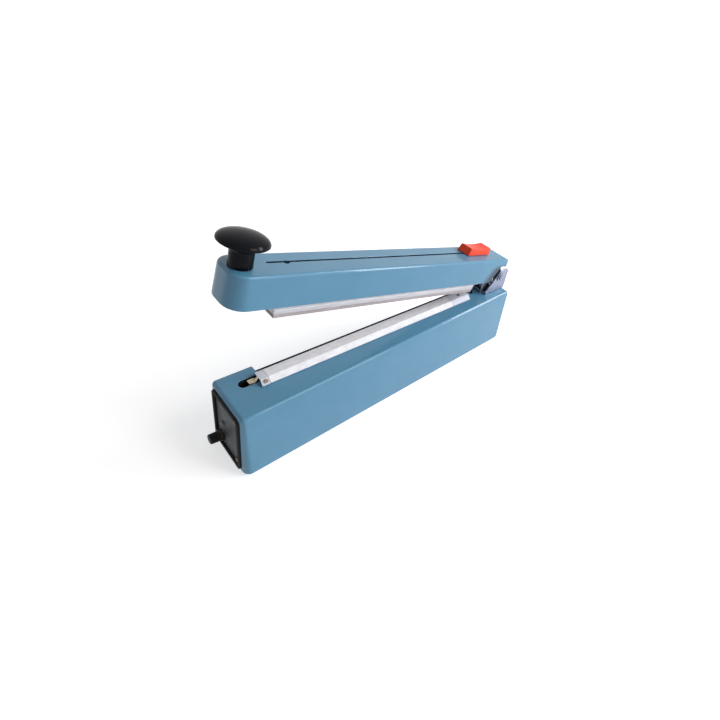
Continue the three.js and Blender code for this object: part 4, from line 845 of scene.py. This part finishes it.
def housing_inside(centre, normal):
    """The cavity, its bosses and the walls of the openings, but not the recess for the bar."""
    slot_room = ((14, 34), (-3, 7), (56, math.inf))
    cavity_room = ((0, 318), (-32, 17), (1.5, 57.6))
    panel_room = ((-math.inf, 6), (-24, 12), (6, 54))
    slot = inside(centre, slot_room) and abs(normal.z) < 0.5
    walls = inside(centre, cavity_room) and not outer_wall(centre)
    end_opening = inside(centre, panel_room) and abs(normal.x) < 0.4
    return slot or walls or end_opening


def front_at(x):
    """Where the top's front edge runs: the housing narrows towards the hinge."""
    return -(FRONT_AT_CONTROL + (FRONT_AT_HINGE - FRONT_AT_CONTROL) * (x / HOUSING_LENGTH))


def outer_wall(point):
    """Whether a point lies on the drafted outer side of the housing, or near it."""
    near = 1.2
    drafted = HOUSING_DRAFT * (1 - point.z / HOUSING_HEIGHT)
    front = front_at(point.x) - drafted
    back = BACK_REACH + drafted
    ends = point.x < -0.2 or point.x > HOUSING_LENGTH + 0.2
    return point.y < front + near or point.y > back - near or ends


def foot_edge(first, second):
    """The lower outer edge of the housing, all round."""
    back = BASE_PLACE.inverted()
    for corner in (first, second):
        point = back @ corner
        front = front_at(point.x) - HOUSING_DRAFT
        ends = point.x < 1 or point.x > HOUSING_LENGTH + 0.5
        outer = point.y < front + 1.5 or point.y > BACK_REACH + 1.5 or ends
        if abs(point.z) > 0.05 or not outer:
            return False
    return True


def past_cover(point):
    """How far a point of the arm drawing lies outside the cover's drafted outline; inside it is negative."""
    grown = ARM_DRAFT * (ARM_TOP - point.z) / ARM_HEIGHT
    middle = (ARM_HINGE_END + ARM_HANDLE_END) / 2
    long = (ARM_HINGE_END - ARM_HANDLE_END) / 2
    corner = 12 if point.x < middle else 1.5
    out_x = abs(point.x - middle) - (long + grown - corner)
    out_y = abs(point.y - ARM_MIDDLE_Y) - (ARM_HALF_WIDTH + grown - corner)
    return math.hypot(max(out_x, 0), max(out_y, 0)) + min(max(out_x, out_y), 0) - corner


def away_from_run(point, run):
    """How far a point is from a chain of straight lines."""
    nearest = math.inf
    for start, end in zip(run, run[1:]):
        line = Vector(end) - Vector(start)
        reach = Vector(point) - Vector(start)
        share = max(0, min(1, reach.dot(line) / line.length_squared))
        nearest = min(nearest, (reach - line * share).length)
    return nearest


def cover_inside(centre, normal):
    """Everything under the arm's top and between its walls, with the cutter's slot."""
    depth = -past_cover(centre)
    rim = normal.z < -0.7 and centre.z < -1.2
    walls = depth > 1.4 and centre.z < ARM_UNDERSIDE + 0.2 and not rim
    slot = depth > 3.5 and centre.z < ARM_TOP - 0.2
    return walls or slot


def notch_edge(first, second):
    """The outer edge of the clearance that is cut into both sides of the arm at the hinge."""
    run = [(-26, -1.6), (-15.6, 13.8), (-13.4, 14.6), (ARM_HINGE_END, 14.6)]
    back = ARM_PLACE.inverted()
    for corner in (first, second):
        point = back @ corner
        on_side = abs(past_cover(point)) < 0.25 and point.x < ARM_HINGE_END - 0.2
        if not on_side or away_from_run((point.x, point.z), run) > 0.2:
            return False
    return True


def bracket_inside(centre, normal):
    """The floor and the inner sides of the bracket's ears."""
    return abs(centre.y) < 9.6 and (normal.z > 0.5 or abs(normal.y) > 0.5)


def wind_coil(turns, coil, wire, pitch):
    """A closed coil on an upright mandrel, from a ring of wire."""
    put_down()
    bpy.ops.mesh.primitive_circle_add(
        vertices=12, radius=wire, location=(coil, 0, 0), rotation=(math.radians(90), 0, 0)
    )
    piece = bpy.context.object
    piece.name = "return_spring_coil"
    settle(piece)
    wound = piece.modifiers.new("wound", "SCREW")
    wound.axis = "Z"
    wound.angle = math.radians(360)
    wound.screw_offset = pitch
    wound.iterations = turns
    wound.steps = 28
    wound.render_steps = 28
    wound.use_merge_vertices = False
    apply_modifier(piece, wound)
    pick_all(piece)
    bpy.ops.mesh.remove_doubles(threshold=0.001)
    bpy.ops.mesh.select_all(action="DESELECT")
    bpy.ops.mesh.select_non_manifold()
    bpy.ops.mesh.edge_face_add()
    bpy.ops.mesh.select_all(action="SELECT")
    bpy.ops.mesh.normals_make_consistent(inside=False)
    close_edit()
    return piece


def make_spring():
    """A coil with its end turns closed up, bent to meet the open arm."""
    turns, coil, wire, pitch = 8, 4.1, 0.6, 4
    end_rise, clear = 1.3, 0.6
    spring_x = HOUSING_LENGTH - 25.6
    foot = BRACKET_FLOOR + wire
    leaning = math.radians(OPEN_DEGREES)
    # Its centre line is an arc that starts upright and meets the arm's underside squarely.
    under = PIN_Z - (spring_x - PIN_X) * math.tan(leaning) + ARM_UNDERSIDE / math.cos(leaning)
    room = under - foot - wire - clear
    rise = room / (1 + math.tan(leaning / 2) * math.tan(leaning))
    bend = rise / math.sin(leaning)
    closed = end_rise / (bend * leaning)
    open_turns = turns - 2
    piece = wind_coil(turns, coil, wire, pitch)
    for corner in piece.data.vertices:
        x, y, z = corner.co
        around = math.atan2(y, x) % math.tau
        turn = round((z - pitch * around / math.tau) / pitch) + around / math.tau
        above = z - pitch * turn
        if turn < 1:
            share = closed * turn
        elif turn > turns - 1:
            share = 1 - closed * (turns - turn)
        else:
            share = closed + (1 - 2 * closed) * (turn - 1) / open_turns
        lean = leaning * share
        corner.co = (
            spring_x + bend * (1 - math.cos(lean)) + x * math.cos(lean) + above * math.sin(lean),
            y,
            foot + bend * math.sin(lean) - x * math.sin(lean) + above * math.cos(lean),
        )
    install(piece, "return_spring", BASE_PLACE, 60)
    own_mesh(piece)


def make_guards():
    """The two leaves folded up from the bracket's floor, one on each side of the spring."""
    start_x, end_x, foot, top, half_thick = 287.2, 299.5, 61.9, 75.5, 0.45

    def top_corner(first, second):
        return min(first.z, second.z) > top - 0.5 and min(first.x, second.x) > end_x - 0.5

    for name, middle in (("spring_guard_front", -5.5), ("spring_guard_back", 5.5)):
        leaf = block(name, (start_x, middle - half_thick, foot), (end_x, middle + half_thick, top))
        pick_edges(leaf, top_corner)
        bpy.ops.mesh.bevel(offset=5, segments=1, affect="EDGES")
        close_edit()
        break_edges(leaf, 0.2, 2)
        seat(leaf, BASE_PLACE)
        smooth(leaf, 35)
        fit(leaf, "base", FINISHES["steel"])


def make_handle():
    """The mushroom knob: a waisted stem that flares into a wide, thin-rimmed cap."""
    neck, flare_rise, flare_reach = (10.5, 8.3), 6.2, 8.5
    rim, crown_rise = (17.4, 17.2), 5.8
    flare_steps, crown_steps = 10, 12
    from_end = 11.3
    rings = [(0.3, 8.1), (0.7, 8.3), (6, 8.2), (10, 8.25)]
    for step in range(1, flare_steps + 1):
        angle = math.radians(90 * step / flare_steps)
        rings.append((neck[0] + flare_rise * math.sin(angle), neck[1] + flare_reach * (1 - math.cos(angle))))
    rings += [(17.0, 17.1), rim]
    for step in range(1, crown_steps + 1):
        angle = math.radians(87 * step / crown_steps)
        rings.append((rim[0] + crown_rise * math.sin(angle), rim[1] * math.cos(angle)))
    knob = turned_up("handle_knob_turned", rings, 96)
    place = ARM_PLACE @ Matrix.Translation((ARM_HANDLE_END + from_end, 0, ARM_TOP))
    install(knob, "handle_knob", place, 40)


def make_timer_knob():
    """A small grip with flutes pressed into its side, a coned skirt and a groove across its face."""
    sides, off_panel = 48, 2.2
    rings = [(0, 4.9), (1.2, 4.8), (1.8, 4.4), (8.0, 4.25), (8.5, 4.0), (8.8, 3.5)]
    knob = turned_up("timer_knob_fluted", rings, sides)

    def every_third_side(centre, normal):
        place = round(math.atan2(centre.y, centre.x) / math.tau * sides - 0.5)
        return 2 < centre.z < 7.6 and abs(normal.z) < 0.1 and place % 3 == 0

    pick_faces(knob, every_third_side)
    bpy.ops.mesh.inset(thickness=0.08, use_individual=True)
    bpy.ops.transform.resize(value=(0.93, 0.93, 1))
    close_edit()
    join_on(knob, drum("timer_shaft", (0, 0, -6), 2.4, 12, 24))
    cut_away(knob, block("timer_groove", (-0.35, 1.2, 8.55), (0.35, 5, 9.5)))
    place = PANEL_PLACE @ Matrix.Translation((-off_panel, TIMER_Y, TIMER_Z)) @ OUTWARD
    install(knob, "timer_knob", place)


def cross_screw(name, radius, height, shank, length):
    """A screw with a rounded head and a cross recess, drawn head up with its seat at zero."""
    shoulder = [(0, radius), (height * 0.45, radius)]
    crown = [(height * 0.8, radius * 0.88), (height, radius * 0.6)]
    screw = turned_up(name, shoulder + crown, 32)
    join_on(screw, drum("shank", (0, 0, -length / 2 + 0.05), shank, length + 0.1, 20))
    wide, deep = radius * 0.16, height * 0.45
    for turn in (0, 90):
        bit = block("bit", (-radius * 0.62, -wide, height - deep), (radius * 0.62, wide, height + 1))
        bit.data.transform(Matrix.Rotation(math.radians(turn + 20), 4, "Z"))
        cut_away(screw, bit)
    break_edges(screw, 0.06, 1, 40)
    return screw


def set_copies(pattern, ending, places):
    """Puts a copy of a piece in the place of each node, and drops the pattern."""
    for node, place in places:
        install(copy_of(pattern, node + ending), node, place)
    scrap(pattern)


def upright_at(node, height):
    """The place of a node's middle, seen from above, at a height on the base drawing."""
    low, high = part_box(node)
    middle = BASE_PLACE.inverted() @ ((low + high) / 2)
    return BASE_PLACE @ Matrix.Translation((middle.x, middle.y, height))


def make_screws():
    down = Matrix.Rotation(math.radians(180), 4, "X")
    cover = cross_screw("cover_screw_pattern", radius=2.9, height=1.6, shank=1.5, length=14)
    nodes = [f"cover_screw_{n}" for n in (1, 2, 3, 4)]
    set_copies(cover, "_recessed", [(node, upright_at(node, 0.5) @ down) for node in nodes])
    bracket = cross_screw("bracket_screw_pattern", radius=3.2, height=1.6, shank=1.9, length=9.5)
    nodes = [f"bracket_screw_{n}" for n in (1, 2)]
    set_copies(bracket, "_recessed", [(node, upright_at(node, BRACKET_FLOOR)) for node in nodes])
    rail = cross_screw("rail_screw_pattern", radius=2.7, height=1.6, shank=1.5, length=7.7)
    rail_start, rail_end, rail_middle, rail_floor = 268.5 - PIN_X, 33.9 - PIN_X, -6, -6.3
    places = []
    for n, share in ((1, 0.1), (2, 0.5), (3, 0.92)):
        x = rail_start * (1 - share) + rail_end * share
        place = ARM_PLACE @ Matrix.Translation((x, rail_middle, rail_floor)) @ down
        places.append((f"rail_screw_{n}", place))
    set_copies(rail, "_recessed", places)
    panel = cross_screw("panel_screw_pattern", radius=1.9, height=1.1, shank=1.1, length=5)
    panel_edge = -22.2
    places = []
    for n, height in ((1, 8.3), (2, 51.22)):
        place = PANEL_PLACE @ Matrix.Translation((-0.1, panel_edge, height)) @ OUTWARD
        places.append((f"panel_screw_{n}", place))
    set_copies(panel, "_recessed", places)


def make_lamp():
    """A domed lens in a thin bezel."""
    rings = [(-12, 1.6), (0.9, 1.6), (1.5, 1.45), (2.0, 1.1), (2.3, 0.55), (2.35, 0.2)]
    lens = turned_up("indicator_lamp_lens", rings, 32)
    place = PANEL_PLACE @ Matrix.Translation((0.1, LAMP_Y, LAMP_Z)) @ OUTWARD
    install(lens, "indicator_lamp", place, 50)
    bezel = drum("indicator_lamp_bezel", (0, 0, 0.3), 2.5, 0.6, 32)
    pick_faces(bezel, lambda centre, normal: normal.z > 0.9)
    bpy.ops.mesh.inset(thickness=0.75)
    bpy.ops.mesh.extrude_region_move(TRANSFORM_OT_translate={"value": (0, 0, -0.25)})
    close_edit()
    break_edges(bezel, 0.12, 2, 40)
    seat(bezel, place)
    smooth(bezel, 40)
    fit(bezel, "base", FINISHES["darkSteel"])


def arc_band(name, inner, outer, height, first, sweep):
    """A flat raised band around the origin, spun from its cross-section."""
    put_down()
    bpy.ops.mesh.primitive_plane_add(size=1)
    band = bpy.context.object
    band.name = name
    middle = Matrix.Translation(((inner + outer) / 2, 0, height / 2))
    section = Matrix.Rotation(math.radians(90), 4, "X") @ Matrix.Diagonal((outer - inner, height, 1, 1))
    band.data.transform(Matrix.Rotation(first, 4, "Z") @ middle @ section)
    pick_all(band)
    bpy.ops.mesh.spin(steps=28, angle=sweep, center=(0, 0, 0), axis=(0, 0, 1))
    bpy.ops.mesh.select_all(action="SELECT")
    bpy.ops.mesh.normals_make_consistent(inside=False)
    close_edit()
    return band


def printed_number(value, spot):
    """A number of the dial, upright on the panel, as a thin raised mesh."""
    put_down()
    bpy.ops.object.text_add()
    number = bpy.context.object
    number.data.body = str(value)
    number.data.size = 2.6
    number.data.extrude = 0.025
    number.data.align_x = "CENTER"
    number.data.align_y = "CENTER"
    take(number)
    bpy.ops.object.convert(target="MESH")
    number.data.transform(Matrix.Translation((spot.x, spot.y, 0.03)))
    return number


def make_dial():
    """Timing marks from one to four, printed on a dark band beside the knob."""
    first_degrees, step_degrees, tick_radius, number_radius = 14, 18, 7.0, 11
    marks = []
    for step in range(8):
        whole = step % 2 == 0
        turn = Matrix.Rotation(math.radians(first_degrees - step_degrees * step), 4, "Z")
        long = 1.7 if whole else 1.1
        tick = block("tick", (-0.16, tick_radius, 0), (0.16, tick_radius + long, 0.09))
        tick.data.transform(turn)
        marks.append(tick)
        if whole:
            spot = turn @ Vector((0, number_radius, 0))
            marks.append(printed_number(step // 2 + 1, spot))
    ring = arc_band("dial_band", 6.4, 9.3, 0.05, math.radians(112), math.radians(142))
    take(marks[0])
    for mark in marks[1:]:
        mark.select_set(True)
    bpy.ops.object.join()
    scale = bpy.context.object
    scale.name = "dial_marks"
    # Drawing x runs to the front of the sealer, y up the panel, and z out of it.
    drawing = Matrix(((0, 0, -1, 0), (-1, 0, 0, 0), (0, 1, 0, 0), (0, 0, 0, 1)))
    place = PANEL_PLACE @ Matrix.Translation((0.09, TIMER_Y, TIMER_Z)) @ drawing
    for piece, finish in ((scale, "ticks"), (ring, "ring")):
        seat(piece, place)
        fit(piece, "base", FINISHES[finish])


def make_feet():
    """A rubber foot: a bevelled pad with a ring groove in its tread."""
    tread = [(-3.6, 4.2), (-3.61, 5.4), (-3.2, 6.2), (-2.4, 6.5)]
    stem = [(0.1, 6.5), (0.5, 6.1), (0.51, 2.6), (2.6, 2.6), (3.3, 1.9)]
    foot = turned_up("foot_pattern", tread + stem, 48)
    pick_faces(foot, lambda centre, normal: normal.z < -0.9 and centre.z < -3.5)
    bpy.ops.mesh.inset(thickness=1.0)
    bpy.ops.mesh.extrude_region_move(TRANSFORM_OT_translate={"value": (0, 0, 0.5)})
    close_edit()
    nodes = [f"foot_{n}" for n in (1, 2, 3, 4)]
    set_copies(foot, "_grooved", [(node, upright_at(node, 0)) for node in nodes])


def make_gland():
    """A moulded grommet: flange, then three rings that step down to the mouth."""
    flange, height, aside, clear = 7.5, 20, -1, 0.3
    drafted = HOUSING_DRAFT * (1 - height / HOUSING_HEIGHT)
    face = HOUSING_LENGTH + drafted + clear + HOUSING_DRAFT * flange / HOUSING_HEIGHT
    rings = [(-5, 5), (-0.2, 5), (0, flange), (2.1, flange), (2.5, 7.1), (2.5, 5.0)]
    for step, wide in enumerate((5.0, 4.7, 4.4)):
        low = 2.7 + step * 1.45
        rings += [(low, wide - 0.7), (low + 0.45, wide - 0.7), (low + 0.6, wide), (low + 1.15, wide - 0.1)]
    rings += [(7.0, 3.8), (7.0, 3.2), (5.2, 3.1)]
    gland = turned_up("cable_gland_ribbed", rings, 48)
    outward = Matrix.Rotation(math.radians(90), 4, "Y")
    install(gland, "cable_gland", BASE_PLACE @ Matrix.Translation((face, aside, height)) @ outward)


make_castings()
make_spring()
make_guards()
make_handle()
make_timer_knob()
make_screws()
make_lamp()
make_dial()
make_feet()
make_gland()


# The view


def place_camera():
    """Stands where the photograph was taken, with its angle of view and its off-centre crop."""
    azimuth, elevation, roll = (math.radians(value) for value in (-45.4, 40.7, 9.0))
    distance, aside, above = 487.4, 11.1, 19.1
    picture, focal, centre_x, centre_y = 720, 479.3, 388.8, 356.7
    back = Vector((
        math.sin(azimuth) * math.cos(elevation),
        -math.cos(azimuth) * math.cos(elevation),
        math.sin(elevation),
    ))
    right = Vector((math.cos(azimuth), math.sin(azimuth), 0))
    up = back.cross(right)
    leaned_right = right * math.cos(roll) + up * math.sin(roll)
    leaned_up = up * math.cos(roll) - right * math.sin(roll)
    base_middle = Vector((HOUSING_LENGTH / 2, 0, 0))
    stand = base_middle + back * distance + leaned_right * aside + leaned_up * above
    data = bpy.data.cameras.new("photograph")
    data.sensor_width = 36
    data.lens = focal / picture * data.sensor_width
    data.shift_x = (picture / 2 - centre_x) / picture
    data.shift_y = (centre_y - picture / 2) / picture
    data.clip_start = 0.01
    data.clip_end = 20
    camera = bpy.data.objects.new("photograph", data)
    bpy.context.scene.collection.objects.link(camera)
    turned = Matrix((leaned_right, leaned_up, back)).transposed().to_4x4()
    camera.matrix_world = Matrix.Translation(at(*stand)) @ turned
    bpy.context.scene.camera = camera


def soft_lamp(name, place, aim, size, watts, upright=(0, 0, 1)):
    """A softbox at a place, turned to its aim, with its long side leaning along upright."""
    data = bpy.data.lights.new(name, "AREA")
    data.shape = "RECTANGLE"
    data.size, data.size_y = size
    data.energy = watts
    lamp = bpy.data.objects.new(name, data)
    bpy.context.scene.collection.objects.link(lamp)
    outward = (Vector(place) - Vector(aim)).normalized()
    long_side = Vector(upright)
    long_side = (long_side - outward * long_side.dot(outward)).normalized()
    turned = Matrix((long_side.cross(outward), long_side, outward)).transposed().to_4x4()
    lamp.matrix_world = Matrix.Translation(place) @ turned


def seen_ray(bench):
    """One for the rays by which the camera, metal and glass see the background."""
    path = bench.add("ShaderNodeLightPath").outputs
    mirrored = bench.sums("MAXIMUM", path["Is Glossy Ray"], path["Is Transmission Ray"])
    return bench.sums("MAXIMUM", path["Is Camera Ray"], mirrored)


def make_sky():
    """A white studio: bright where it is seen, dim where it lights."""
    world = bpy.data.worlds.new("studio")
    bpy.context.scene.world = world
    bench = cleared_bench(world)
    strength = bench.spread(seen_ray(bench), 0, 1, 0.3, 1.0)
    sky = bench.add("ShaderNodeBackground")
    set_inputs(sky, Color=(1, 1, 1, 1))
    bench.join(strength, sky.inputs["Strength"])
    out = bench.add("ShaderNodeOutputWorld")
    bench.join(sky.outputs[0], out.inputs["Surface"])


def make_floor():
    """Pale paper that keeps the sealer's shadow and fades to white further out."""
    put_down()
    bpy.ops.mesh.primitive_plane_add(size=30, location=(0, 0, 0))
    floor = bpy.context.object
    floor.name = "floor"
    paper = bpy.data.materials.new("pale_floor")
    bench = cleared_bench(paper)
    plain = bench.add("ShaderNodeBsdfDiffuse")
    set_inputs(plain, Color=(0.86, 0.86, 0.87, 1))
    white = bench.add("ShaderNodeEmission")
    set_inputs(white, Color=(1, 1, 1, 1))
    away = bench.add("ShaderNodeVectorMath", operation="LENGTH")
    bench.join(bench.place(), away.inputs[0])
    glow = bench.spread(away.outputs["Value"], 0.5, 2.0, 0.56, 0.8)
    bench.join(bench.sums("MULTIPLY", seen_ray(bench), glow), white.inputs["Strength"])
    both = bench.add("ShaderNodeAddShader")
    bench.join(plain.outputs[0], both.inputs[0])
    bench.join(white.outputs[0], both.inputs[1])
    out = bench.add("ShaderNodeOutputMaterial")
    bench.join(both.outputs[0], out.inputs["Surface"])
    floor.data.materials.append(paper)


def hang_lamps():
    middle = (cad_low + cad_high) / 2
    soft_lamp("window_strip", middle + Vector((1.26, -0.65, 0.74)), middle, (0.28, 1.3), 17, (0, 0.77, 0.64))
    soft_lamp("curtain", middle + Vector((0.67, -0.93, 1.1)), middle, (0.6, 0.8), 9, (0, 0.77, 0.64))
    soft_lamp("front_wall", middle + Vector((0.6, -1.7, 0.35)), middle, (1.2, 0.5), 4)


place_camera()
make_sky()
make_floor()
hang_lamps()
bpy.context.scene.view_settings.view_transform = "Standard"
